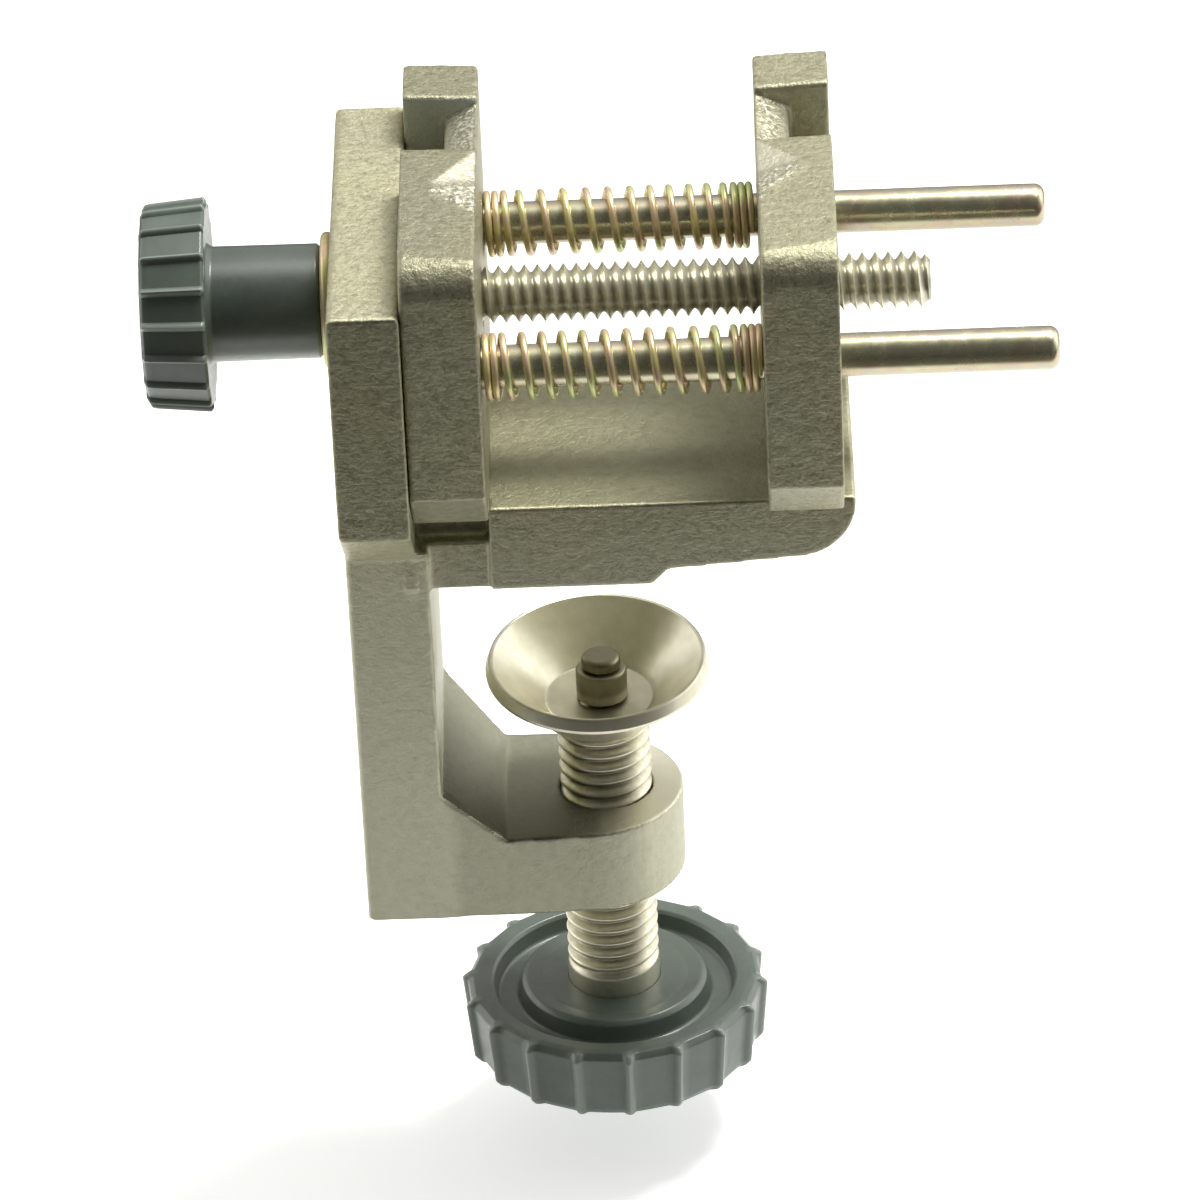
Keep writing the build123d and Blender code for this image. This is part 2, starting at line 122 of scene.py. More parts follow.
class Graph:
    """A short way to wire up a shader tree."""

    def __init__(self, tree):
        self.tree = tree
        tree.nodes.clear()

    def add(self, kind, **props):
        node = self.tree.nodes.new(kind)
        for key, value in props.items():
            setattr(node, key, value)
        return node

    def put(self, socket, value):
        """Links an output socket, or sets a plain value."""
        if hasattr(value, "is_output"):
            self.tree.links.new(value, socket)
        else:
            socket.default_value = value

    def split(self, vector):
        node = self.add("ShaderNodeSeparateXYZ")
        self.put(node.inputs[0], vector)
        return tuple(node.outputs)

    def math(self, operation, *values):
        node = self.add("ShaderNodeMath", operation=operation)
        for socket, value in zip(node.inputs, values):
            self.put(socket, value)
        return node.outputs[0]

    def times(self, first, second):
        return self.math("MULTIPLY", first, second)

    def remap(self, value, span, to=(0.0, 1.0), **props):
        """Carries the span onto the range to, held at both ends."""
        node = self.add("ShaderNodeMapRange", **props)
        self.put(node.inputs["Value"], value)
        for key, number in zip(("From Min", "From Max", "To Min", "To Max"), (*span, *to)):
            node.inputs[key].default_value = number
        return node.outputs[0]

    def ramp(self, factor, stops):
        node = self.add("ShaderNodeValToRGB")
        self.put(node.inputs[0], factor)
        elements = node.color_ramp.elements
        while len(elements) < len(stops):
            elements.new(0.5)
        for element, (position, colour) in zip(elements, stops):
            element.position = position
            element.color = colour
        return node.outputs[0]

    def mix(self, factor, first, second, kind="MIX"):
        node = self.add("ShaderNodeMix", data_type="RGBA", blend_type=kind)
        self.put(node.inputs["Factor"], factor)
        colours = [socket for socket in node.inputs if socket.type == "RGBA"]
        self.put(colours[0], first)
        self.put(colours[1], second)
        return [socket for socket in node.outputs if socket.type == "RGBA"][0]


class Material(Graph):
    """A procedural material around one Principled shader, in object coordinates."""

    SOCKETS = {
        "color": "Base Color",
        "metallic": "Metallic",
        "rough": "Roughness",
        "normal": "Normal",
        "coat": "Coat Weight",
        "coat_rough": "Coat Roughness",
        "spec": "Specular IOR Level",
        "emission": "Emission Color",
        "glow": "Emission Strength",
    }

    def __init__(self, name):
        self.material = bpy.data.materials.new(name)
        self.material.use_nodes = True
        super().__init__(self.material.node_tree)
        output = self.add("ShaderNodeOutputMaterial")
        self.shader = self.add("ShaderNodeBsdfPrincipled")
        self.put(output.inputs[0], self.shader.outputs[0])
        self.coord = self.add("ShaderNodeTexCoord").outputs["Object"]

    def math(self, operation, first, second=0.0):
        return super().math(operation, first, second, 0.0)

    def position(self):
        return self.split(self.coord)

    def normals(self, kind="Normal"):
        return self.split(self.add("ShaderNodeNewGeometry").outputs[kind])

    def attribute(self, name):
        return self.add("ShaderNodeAttribute", attribute_name=name).outputs["Fac"]

    def facing(self, blend):
        node = self.add("ShaderNodeLayerWeight")
        node.inputs["Blend"].default_value = blend
        return node.outputs["Facing"]

    def noise(self, scale, detail=4.0, rough=0.55, vector=None, distortion=0.0):
        node = self.add("ShaderNodeTexNoise")
        self.put(node.inputs["Vector"], vector or self.coord)
        node.inputs["Scale"].default_value = scale
        node.inputs["Detail"].default_value = detail
        node.inputs["Roughness"].default_value = rough
        node.inputs["Distortion"].default_value = distortion
        return node.outputs["Fac"]

    def scaled(self, *scale):
        """Coordinates scaled by x, y, z."""
        node = self.add("ShaderNodeMapping")
        self.put(node.inputs["Vector"], self.coord)
        node.inputs["Scale"].default_value = scale
        return node.outputs[0]

    def bump(self, height, strength, distance, normal=None):
        node = self.add("ShaderNodeBump")
        node.inputs["Strength"].default_value = strength
        node.inputs["Distance"].default_value = distance
        self.put(node.inputs["Height"], height)
        if normal is not None:
            self.put(node.inputs["Normal"], normal)
        return node.outputs[0]

    def finish(self, **values):
        for key, value in values.items():
            self.put(self.shader.inputs[self.SOCKETS[key]], value)
        return self.material


# ---------------------------------------------------------------------- materials
def frame_painted_lighting(mat, base, facing, place, normal_z):
    """Painted shade, painted shadow and painted light on the frame."""
    x, y, z = place
    # painted shade: front faces are painted darker above the bend and along the bed and the
    # arm
    painted_shade = mat.math(
        "MAXIMUM",
        mat.remap(z, span=(0.0015, 0.0050), to=(0.10, 0.30)),
        mat.remap(x, span=(-0.0138, -0.0120), to=(0.0, 0.26)),
    )
    base = mat.mix(mat.times(facing, painted_shade), base, BLACK)
    # painted shadow of the cup and the screw in the corner between the brace, the arm and
    # the screw
    upward = mat.remap(normal_z, span=(0.30, 0.60))
    throat = mat.times(upward, mat.remap(z, span=(-0.0185, -0.0175), to=(1, 0)))
    painted_shadow = mat.times(throat, mat.remap(y, span=(-0.0085, 0.0060), to=(0.92, 0.42)))
    painted_shadow = mat.times(painted_shadow, mat.remap(x, span=(-0.0040, 0.0030), to=(1, 0)))
    base = mat.mix(painted_shadow, base, srgb(92, 93, 74))
    # painted light: the arm's top is painted lighter right of the screw, where the key
    # light falls past the cup
    painted_light_patch = mat.times(throat, mat.remap(x, span=(-0.0010, 0.0040), to=(0.0, 0.95)))
    return mat.mix(painted_light_patch, base, srgb(240, 236, 214))


def jaw_painted_lighting(mat, base, facing, place, normal_z):
    """Painted shade on the jaw tops and a painted reflection on the notch's end wall."""
    x, y, _ = place
    # painted shade: flat tops are painted darker, more on the fixed jaw
    top = mat.remap(normal_z, span=(0.80, 0.93))
    painted_shade = mat.remap(x, span=(-0.006, 0.006), to=(0.24, 0.04))
    base = mat.mix(mat.times(top, painted_shade), base, BLACK)
    # painted reflection: the notch's end wall is painted lighter, mostly on the fixed jaw
    wall_reflection = mat.times(facing, mat.remap(y, span=(0.008, 0.010), to=(0.0, 0.60)))
    wall_reflection = mat.times(wall_reflection, mat.remap(x, span=(-0.002, 0.002), to=(1.0, 0.15)))
    return mat.mix(wall_reflection, base, srgb(216, 226, 226))


def cast_metal(name, tone, painted_lighting):
    """Small plated casting: cloudy satin skin, fine sand grain, drag lines on the upright
    faces, painted highlights on the edges, painted light on the foot and painted shade on
    the bed."""
    mat = Material(name)
    place = mat.position()
    _, y, z = place
    _, normal_y, normal_z = mat.normals("True Normal")
    upright = mat.remap(mat.math("ABSOLUTE", normal_z), span=(0.25, 0.55), to=(1, 0))
    flat_up = mat.remap(normal_z, span=(0.9, 0.98))
    broad = mat.noise(scale=110, detail=3, rough=0.5)
    blotch = mat.noise(scale=1250, detail=5, rough=0.68)
    grain = mat.noise(scale=3400, detail=4, rough=0.7)
    fine = mat.noise(scale=9000, detail=2, rough=0.6)
    base = mat.mix(
        mat.remap(broad, span=(0.35, 0.65)), srgb(186, 182, 152), srgb(180, 179, 153)
    )
    # light and dark clouds, then dark and light grain: pattern, span, strength, colour
    for pattern, span, strength, colour in (
        (blotch, (0.44, 0.68), 0.55, srgb(212, 208, 180)),
        (blotch, (0.46, 0.30), 0.55, srgb(146, 141, 114)),
        (grain, (0.46, 0.30), 0.55, srgb(128, 123, 100)),
        (grain, (0.56, 0.72), 0.45, srgb(228, 225, 200)),
    ):
        base = mat.mix(mat.remap(pattern, span=span, to=(0, strength)), base, colour)
    # painted light: the foot of the casting is painted lighter and greyer, where the
    # floor's bounce light falls
    foot = mat.remap(z, span=(-0.002, 0.006), to=(1, 0))
    base = mat.mix(mat.times(foot, 0.6), base, srgb(184, 186, 170))
    # painted shade: the bed top is painted darker, as it lies in the jaws' shade, with a
    # painted shadow of the leadscrew along its middle
    bed_shade = mat.times(flat_up, mat.remap(z, span=(0.0070, 0.0074)))
    bed_shade = mat.times(bed_shade, mat.remap(z, span=(0.0078, 0.0082), to=(1, 0)))
    off_screw_shadow = mat.math("ABSOLUTE", mat.math("ADD", y, 0.0034))
    streak = mat.remap(off_screw_shadow, span=(0.0006, 0.0030), to=(1, 0))
    base = mat.mix(mat.times(bed_shade, 0.56), base, srgb(124, 124, 100))
    base = mat.mix(mat.times(mat.times(bed_shade, streak), 0.28), base, srgb(100, 100, 80))
    base = mat.mix(1.0, base, (tone, tone * 0.99, tone * 0.96, 1), "MULTIPLY")
    facing = mat.remap(normal_y, span=(-0.95, -0.75), to=(1, 0))
    # painted light and shade of the frame or of the jaws
    base = painted_lighting(mat, base, facing, place, normal_z)
    # sandy patches glitter
    sand = mat.attribute("sand")
    speck = mat.noise(scale=3000, detail=2, rough=0.55)
    bright = mat.times(sand, mat.remap(speck, span=(0.46, 0.60), to=(0.0, 0.62)))
    base = mat.mix(bright, base, srgb(236, 234, 220))
    dark = mat.times(sand, mat.remap(speck, span=(0.46, 0.36), to=(0.0, 0.35)))
    base = mat.mix(dark, base, srgb(128, 124, 100))
    # painted highlight along the edges and on the jaws' facets; the edges are also a little
    # smoother
    edge = mat.attribute("edge")
    base = mat.mix(mat.times(edge, 0.6), base, srgb(230, 226, 208))
    rough = mat.remap(grain, span=(0.3, 0.7), to=(0.36, 0.54))
    rough = mat.math("SUBTRACT", rough, mat.times(edge, 0.08))
    # drag lines and clouds in the skin, both weaker at the foot
    lines = mat.noise(scale=1.0, detail=4, rough=0.65, vector=mat.scaled(650, 650, 4200))
    lines = mat.times(mat.math("SUBTRACT", lines, 0.5), upright)
    lines = mat.times(lines, mat.math("SUBTRACT", 1.0, mat.times(foot, 0.75)))
    skin = mat.times(blotch, mat.math("SUBTRACT", 1.0, mat.times(foot, 0.65)))
    relief = mat.bump(lines, strength=0.50, distance=0.00006)
    relief = mat.bump(skin, strength=0.75, distance=0.00016, normal=relief)
    relief = mat.bump(grain, strength=0.75, distance=0.00006, normal=relief)
    relief = mat.bump(fine, strength=0.30, distance=0.00001, normal=relief)
    relief = mat.bump(
        mat.times(speck, sand), strength=0.80, distance=0.00018, normal=relief
    )
    return mat.finish(color=base, metallic=0.76, rough=rough, normal=relief, spec=0.5)


def film_tint(mat, blend, facing_share, drift, span, reach, stops):
    """Plating colours that drift over the piece and turn with the view."""
    facing = mat.facing(blend)
    cloud = mat.noise(**drift)
    film = mat.math(
        "ADD", mat.times(facing, facing_share), mat.remap(cloud, span=span, to=(0, reach))
    )
    return mat.ramp(film, stops)


# film thickness, colour
ROD_FILM = (
    (0.10, srgb(208, 206, 178)),
    (0.38, srgb(212, 208, 172)),
    (0.52, srgb(210, 192, 164)),
    (0.64, srgb(202, 188, 176)),
    (0.78, srgb(192, 198, 168)),
    (0.92, srgb(184, 194, 178)),
)
SPRING_FILM = (
    (0.06, srgb(226, 220, 176)),
    (0.26, srgb(228, 218, 150)),
    (0.44, srgb(230, 208, 166)),
    (0.54, srgb(222, 190, 168)),
    (0.62, srgb(222, 212, 158)),
    (0.86, srgb(204, 214, 150)),
)


def zinc_steel(name, rough_range=(0.20, 0.30)):
    """Yellow zinc plating with its faint rainbow."""
    mat = Material(name)
    tint = film_tint(
        mat, blend=0.45, facing_share=0.55, drift=dict(scale=330, detail=3, distortion=0.6),
        span=(0.25, 0.75), reach=0.62, stops=ROD_FILM,
    )
    base = mat.mix(0.85, srgb(206, 203, 176), tint)
    streak = mat.noise(scale=1.0, detail=3, rough=0.6, vector=mat.scaled(300, 5200, 5200))
    streaks = mat.remap(streak, span=(0.35, 0.7), to=(0.0, 0.16))
    base = mat.mix(streaks, base, srgb(150, 144, 116))
    # painted shade: undersides towards the back are painted browner and darker
    _, y, _ = mat.position()
    _, _, normal_z = mat.normals()
    under = mat.remap(normal_z, span=(-0.55, 0.05), to=(0.42, 0.0))
    under = mat.times(under, mat.remap(y, span=(0.006, 0.009)))
    base = mat.mix(under, base, srgb(132, 114, 88))
    spots = mat.noise(scale=2400, detail=2, rough=0.5)
    spots = mat.remap(spots, span=(0.70, 0.78), to=(0.0, 0.4))
    base = mat.mix(spots, base, srgb(112, 100, 74))
    rough = mat.noise(scale=900, detail=4, rough=0.6)
    rough = mat.remap(rough, span=(0.3, 0.7), to=rough_range)
    rough = mat.math("ADD", rough, mat.times(spots, 0.2))
    relief = mat.bump(streak, strength=0.10, distance=0.00001)
    fine = mat.noise(scale=3200, detail=3, rough=0.6)
    relief = mat.bump(fine, strength=0.16, distance=0.00001, normal=relief)
    return mat.finish(color=base, metallic=0.9, rough=rough, normal=relief)


def spring_zinc(name):
    """Strong gold, pink and green patches of plated spring wire."""
    mat = Material(name)
    tint = film_tint(
        mat, blend=0.5, facing_share=0.30,
        drift=dict(scale=190, detail=2, rough=0.5, distortion=0.8),
        span=(0.22, 0.78), reach=0.85, stops=SPRING_FILM,
    )
    rough = mat.noise(scale=1500, detail=3, rough=0.6)
    rough = mat.remap(rough, span=(0.3, 0.7), to=(0.30, 0.44))
    fine = mat.noise(scale=3800, detail=3, rough=0.6)
    relief = mat.bump(fine, strength=0.18, distance=0.00001)
    return mat.finish(color=tint, metallic=0.62, rough=rough, normal=relief)


def screw_steel(name, dark, light, axis, crest_r, root_r, metallic, root_shade_amount):
    """Steel with painted highlights on the thread crests and painted shade in the thread
    roots.
    """
    mat = Material(name)
    x, y, z = mat.position()
    if axis == "X":
        across, other = y, mat.math("SUBTRACT", z, LEAD_Z)
    else:
        across, other = x, y
    squares = mat.math("ADD", mat.times(across, across), mat.times(other, other))
    radius = mat.math("SQRT", squares)
    cloud = mat.noise(scale=1400, detail=4, rough=0.6)
    base = mat.mix(mat.remap(cloud, span=(0.3, 0.7)), light, dark)
    # painted highlight on the crests, painted shade in the roots
    depth = crest_r - root_r
    crest = mat.remap(radius, span=(root_r + 0.62 * depth, crest_r), to=(0.0, 0.55))
    root_span = (root_r + 0.02 * depth, root_r + 0.50 * depth)
    root_shade = mat.remap(radius, span=root_span, to=(root_shade_amount, 0.0))
    base = mat.mix(crest, base, srgb(240, 236, 218))
    base = mat.mix(root_shade, base, srgb(92, 88, 66))
    rough = mat.remap(cloud, span=(0.3, 0.7), to=(0.28, 0.40))
    # turning marks are fine along the axis
    turning = mat.scaled(*((2200, 700, 700) if axis == "X" else (700, 700, 2200)))
    lines = mat.noise(scale=1.0, detail=3, rough=0.6, vector=turning)
    relief = mat.bump(lines, strength=0.14, distance=0.00001)
    fine = mat.noise(scale=5200, detail=2, rough=0.6)
    relief = mat.bump(fine, strength=0.16, distance=0.00001, normal=relief)
    if axis == "Z":
        # painted shade: the riveted end of the screw is painted darker, in the shade under
        # the bed
        end = mat.remap(z, span=(-0.0162, -0.0158), to=(0.0, 0.7))
        base = mat.mix(end, base, srgb(128, 124, 98))
    return mat.finish(color=base, metallic=metallic, rough=rough, normal=relief)


def nickel(name):
    """Turned, plated cup: fine rings around the clamp screw's axis."""
    mat = Material(name)
    x, y, z = mat.position()
    squares = mat.math("ADD", mat.math("POWER", x, 2.0), mat.math("POWER", y, 2.0))
    radius = mat.math("SQRT", squares)
    radial = mat.add("ShaderNodeCombineXYZ")
    mat.put(radial.inputs[0], radius)
    rings = mat.noise(scale=14000, detail=2, rough=0.6, vector=radial.outputs[0])
    cloud = mat.noise(scale=420, detail=4, rough=0.6)
    base = mat.mix(
        mat.remap(cloud, span=(0.3, 0.7)), srgb(224, 220, 201), srgb(207, 202, 180)
    )
    # the pressed centre is rougher than the turned cone, and painted darker as shade under
    # the bed
    upper = mat.remap(z, span=(-0.0182, -0.0178))
    centre = mat.times(mat.remap(radius, span=(0.00445, 0.00475), to=(1, 0)), upper)
    base = mat.mix(mat.times(centre, 0.22), base, srgb(150, 146, 122))
    rough = mat.remap(cloud, span=(0.3, 0.7), to=(0.29, 0.37))
    rough = mat.math("ADD", rough, mat.times(centre, 0.14))
    relief = mat.bump(rings, strength=0.14, distance=0.00001)
    fine = mat.noise(scale=2400, detail=3, rough=0.6)
    relief = mat.bump(fine, strength=0.10, distance=0.00001, normal=relief)
    return mat.finish(color=base, metallic=0.93, rough=rough, normal=relief)


def black_plastic(name):
    """Moulded black plastic, dusty, with painted highlights on the ribs' beads."""
    mat = Material(name)
    cloud = mat.noise(scale=260, detail=4, rough=0.6)
    base = mat.mix(mat.remap(cloud, span=(0.3, 0.7)), srgb(77, 88, 79), srgb(90, 101, 91))
    x, _, _ = mat.position()
    _, _, normal_z = mat.normals()
    # painted reflection: the underside of the upper knob is painted lighter, as it mirrors
    # the pale floor; painted shade: the top of its hub is painted darker
    upper = mat.remap(x, span=(-0.0205, -0.0195), to=(1, 0))
    under = mat.times(upper, mat.remap(normal_z, span=(-0.75, -0.10), to=(0.55, 0.0)))
    base = mat.mix(under, base, srgb(158, 166, 158))
    hub = mat.times(upper, mat.remap(x, span=(-0.0305, -0.0300)))
    hub = mat.times(hub, mat.remap(normal_z, span=(0.0, 0.8), to=(0.0, 0.36)))
    base = mat.mix(hub, base, srgb(30, 36, 31))
    # painted highlight on the beads
    edge = mat.attribute("edge")
    base = mat.mix(mat.times(edge, 0.55), base, srgb(160, 168, 158))
    dust = mat.noise(scale=4200, detail=3, rough=0.7)
    dust = mat.remap(dust, span=(0.60, 0.74), to=(0.0, 0.35))
    base = mat.mix(dust, base, srgb(112, 120, 110))
    rough = mat.noise(scale=1300, detail=4, rough=0.65)
    rough = mat.remap(rough, span=(0.3, 0.7), to=(0.34, 0.48))
    fine = mat.noise(scale=3000, detail=4, rough=0.65)
    relief = mat.bump(fine, strength=0.20, distance=0.00002)
    relief = mat.bump(cloud, strength=0.15, distance=0.00005, normal=relief)
    return mat.finish(
        color=base, metallic=0.0, rough=rough, normal=relief, spec=0.55, coat=0.55,
        coat_rough=0.24,
    )


M_CAST = cast_metal("cast_nickel_grey", tone=1.0, painted_lighting=frame_painted_lighting)
M_JAW = cast_metal("cast_jaw_grey", tone=0.80, painted_lighting=jaw_painted_lighting)
M_ROD = zinc_steel("yellow_zinc_rod")
M_SPRING = spring_zinc("yellow_zinc_spring")
M_WASHER = spring_zinc("yellow_zinc_washer")
M_JAWSCREW = zinc_steel("zinc_jaw_screw", rough_range=(0.25, 0.42))
M_LEAD = screw_steel(
    "leadscrew_steel", dark=srgb(204, 200, 180), light=srgb(230, 227, 210), axis="X",
    crest_r=LEAD_R, root_r=LEAD_R - LEAD_DEPTH, metallic=0.75, root_shade_amount=0.5,
)
M_CLAMP = screw_steel(
    "clamp_screw_steel", dark=srgb(206, 200, 174), light=srgb(230, 225, 202), axis="Z",
    crest_r=CLAMP_R, root_r=CLAMP_R - CLAMP_DEPTH, metallic=0.9, root_shade_amount=0.62,
)
M_NICKEL = nickel("cup_nickel")
M_BUSH = screw_steel(
    "bush_steel", dark=srgb(160, 156, 130), light=srgb(184, 180, 152), axis="Z",
    crest_r=2.3 * MM, root_r=0.9 * MM, metallic=0.75, root_shade_amount=0.2,
)
M_PLASTIC = black_plastic("moulded_black")


# ------------------------------------------------------------------- mesh helpers
def add_object(name, data):
    obj = bpy.data.objects.new(name, data)
    scene.collection.objects.link(obj)
    return obj


@contextmanager
def editing(mesh):
    """The mesh as a bmesh, written back at the end of the block."""
    edit = bmesh.new()
    edit.from_mesh(mesh)
    yield edit
    edit.to_mesh(mesh)
    edit.free()
    mesh.update()


def finish_shading(obj, sharp=None):
    """Smooth faces; edges over the angle sharp (degrees) stay sharp."""
    mesh = obj.data
    mesh.polygons.foreach_set("use_smooth", [True] * len(mesh.polygons))
    if sharp is not None:
        mesh.set_sharp_from_angle(angle=math.radians(sharp))
    mesh.update()


def new_object(name, verts, faces, material, sharp):
    """A shaded object whose normals point outwards."""
    mesh = bpy.data.meshes.new(name)
    mesh.from_pydata([tuple(v) for v in verts], [], faces)
    mesh.validate()
    mesh.materials.append(material)
    obj = add_object(name, mesh)
    finish_shading(obj, sharp)
    with editing(mesh) as edit:
        bmesh.ops.recalc_face_normals(edit, faces=edit.faces)
    return obj


def write_mask(obj, name, values):
    """A 0..1 value on each vertex, for the material to read."""
    attribute = obj.data.attributes.new(name, "FLOAT", "POINT")
    attribute.data.foreach_set("value", np.asarray(values, np.float32))


def smoothstep(x, start, end):
    ratio = np.clip((x - start) / (end - start), 0, 1)
    return ratio * ratio * (3 - 2 * ratio)


def place(axis, along, radius, angle, centre):
    """The point at this distance along the axis and this radius and angle about it
    (right-handed)."""
    if axis == "X":
        side = centre[1] + radius * math.cos(angle)
        return (along, side, centre[2] + radius * math.sin(angle))
    side = centre[0] + radius * math.cos(angle)
    return (side, centre[1] + radius * math.sin(angle), along)


def soften(outline, steps):
    """Turns rows of (along, radius, corner radius) into an (along, radius) profile
    with rounded corners."""
    out = []
    for i, (along, radius, corner) in enumerate(outline):
        if corner <= 0 or i in (0, len(outline) - 1):
            out.append((along, radius))
            continue
        before, here, after = (Vector((*outline[k][:2], 0)) for k in (i - 1, i, i + 1))
        back, ahead = before - here, after - here
        back_length, ahead_length = back.length, ahead.length
        back.normalize()
        ahead.normalize()
        angle = back.angle(ahead)
        if angle > math.pi - 0.02:
            out.append((along, radius))
            continue
        cut = min(corner / math.tan(angle / 2), back_length * 0.49, ahead_length * 0.49)
        rounding = cut * math.tan(angle / 2)
        centre = here + (back + ahead).normalized() * (rounding / math.sin(angle / 2))
        first, last = here + back * cut - centre, here + ahead * cut - centre
        total = first.angle(last)
        for k in range(steps + 1):
            part = k / steps
            first_weight = math.sin((1 - part) * total) / math.sin(total)
            last_weight = math.sin(part * total) / math.sin(total)
            point = centre + first * first_weight + last * last_weight
            out.append((point.x, point.y))
    return out


def collar_profile(start, end, inner, outer, corners, steps):
    """Profile of a plain ring, or of a rod when inner is 0."""
    return soften(
        [(start, inner, 0), (start, outer, corners[0]), (end, outer, corners[1]),
         (end, inner, 0)],
        steps,
    )


def lathe(
    name, axis, centre, profile, material, segs=96, angles=None, shape=None, sharp=35.0
):
    """Closed solid of revolution. profile is (along, radius) from one end of the axis
    to the other; shape(k, angle) may add to the radius of profile point k."""
    if angles is None:
        angles = [2 * math.pi * j / segs for j in range(segs)]
    count = len(angles)
    verts, rings = [], []
    for k, (along, radius) in enumerate(profile):
        if radius < 1e-9:
            rings.append([len(verts)] * count)
            verts.append(place(axis, along, 0, 0, centre))
            continue
        rings.append(range(len(verts), len(verts) + count))
        for angle in angles:
            extra = shape(k, angle) if shape else 0.0
            verts.append(place(axis, along, radius + extra, angle, centre))
    pairs = list(zip(rings, rings[1:]))
    if rings[0][0] != rings[0][-1] and rings[-1][0] != rings[-1][-1]:
        pairs.append((rings[-1], rings[0]))
    faces = []
    for near, far in pairs:
        for j in range(count):
            k = (j + 1) % count
            # at the axis the quad falls together into a triangle
            faces.append(tuple(dict.fromkeys((near[j], far[j], far[k], near[k]))))
    return new_object(name, verts, faces, material, sharp)


def hull_from(name, points):
    """A convex helper mesh through these points."""
    mesh = bpy.data.meshes.new(name)
    with editing(mesh) as edit:
        for point in points:
            edit.verts.new(point)
        bmesh.ops.convex_hull(edit, input=edit.verts)
        loose = [v for v in edit.verts if not v.link_faces]
        bmesh.ops.delete(edit, geom=loose, context="VERTS")
        bmesh.ops.recalc_face_normals(edit, faces=edit.faces)
    return add_object(name, mesh)


def apply_modifiers(obj):
    bpy.context.view_layer.update()
    depsgraph = bpy.context.evaluated_depsgraph_get()
    mesh = bpy.data.meshes.new_from_object(obj.evaluated_get(depsgraph))
    obj.modifiers.clear()
    old = obj.data
    obj.data = mesh
    bpy.data.meshes.remove(old)


def boolean(obj, other, operation):
    """Joins or trims obj with other, which is used up."""
    modifier = obj.modifiers.new("boolean", "BOOLEAN")
    modifier.operation = operation
    modifier.solver = "EXACT"
    modifier.object = other
    apply_modifiers(obj)
    bpy.data.objects.remove(other)


def one_material(obj, material):
    mesh = obj.data
    mesh.materials.clear()
    mesh.materials.append(material)
    mesh.polygons.foreach_set("material_index", [0] * len(mesh.polygons))
    mesh.update()


def adopt(obj, body, node):
    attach(obj, body)
    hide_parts(node)


# ----------------------------------------------------------------------- castings
def read_vectors(mesh, field):
    values = np.zeros(len(mesh.vertices) * 3)
    mesh.vertices.foreach_get(field, values)
    return values.reshape(-1, 3)


def write_points(mesh, points):
    mesh.vertices.foreach_set("co", points.ravel())
    mesh.update()


def relax(edit, verts):
    bmesh.ops.smooth_vert(
        edit, verts=verts, factor=0.5, use_axis_x=True, use_axis_y=True, use_axis_z=True
    )


def remesh(obj, voxel):
    """An even, slightly rounded grid over the object. Returns how close each vertex
    is to an outer edge, 0..1."""
    bare = bmesh.new()
    bare.from_mesh(obj.data)
    surface = BVHTree.FromBMesh(bare)
    bare.free()
    grid = obj.modifiers.new("remesh", "REMESH")
    grid.mode = "VOXEL"
    grid.voxel_size = voxel
    grid.adaptivity = 0.0
    smooth = obj.modifiers.new("smooth", "SMOOTH")
    smooth.factor = 0.5
    smooth.iterations = 4
    apply_modifiers(obj)
    # flat faces go back onto the true surface, edges keep their softness
    points = read_vectors(obj.data, "co")
    nearest = np.array([tuple(surface.find_nearest(Vector(p))[0]) for p in points])
    gap = np.linalg.norm(nearest - points, axis=1)
    snap = 1 - smoothstep(gap, 0.17 * voxel, 0.42 * voxel)
    normals = read_vectors(obj.data, "normal")
    outward = np.einsum("ij,ij->i", nearest - points, normals) > 0
    edge = smoothstep(gap, 0.22 * voxel, 0.60 * voxel) * outward
    write_points(obj.data, points + (nearest - points) * snap[:, None])
    return edge


def casting(node, voxel, material, extras, scoop=None):
    """The node's shape joined with the extras, with the soft edges, slight waviness
    and sandy patches of a small plated casting. A scoop cuts a jaw's ground facet."""
    obj = add_object(f"{node}_casting", NODES[node].data.copy())
    with editing(obj.data) as edit:
        bmesh.ops.remove_doubles(edit, verts=edit.verts, dist=2e-6)
    for extra in extras:
        boolean(obj, extra, "UNION")
    edge = remesh(obj, voxel)
    mesh = obj.data
    with editing(mesh) as edit:
        relax(edit, edit.verts)
        if scoop:
            web = [v for v in edit.verts if scoop.is_soft(v.co)]
            for _ in range(26):
                relax(edit, web)
    points = read_vectors(mesh, "co")
    if scoop:
        points[:, 2] -= scoop.sink(points)
        write_points(mesh, points)
    normals = read_vectors(mesh, "normal")
    # waviness of the cast skin, and coarse sand grain inside the patches
    wave = np.array([noise.noise(Vector(p)) for p in points * 260.0])
    grain = np.array([noise.noise(Vector(p)) for p in points * 1300.0])
    push = wave * 0.014 * MM + grain * 0.011 * MM
    sand = np.zeros(len(points))
    for mask, height, scale in scoop.patches() if scoop else []:
        weight = mask(points, normals)
        sand = np.maximum(sand, weight)
        for k in np.nonzero(weight > 0.01)[0]:
            point = Vector(points[k])
            grit = noise.noise(point * scale) + 0.6 * noise.noise(point * scale * 2.1)
            push[k] += weight[k] * grit * height
    points = points + normals * push[:, None]
    write_points(mesh, points)
    # painted highlight on the jaw's facet joins the edge mask
    if scoop:
        edge = np.maximum(edge, scoop.ground(points, normals))
    one_material(obj, material)
    write_mask(obj, "edge", edge)
    write_mask(obj, "sand", sand)
    finish_shading(obj)
    return obj


JAW_FALL = 0.3 * MM  # the jaw's top falls this much towards the grip
NOTCH_Y = 3.3 * MM  # the notch's corner


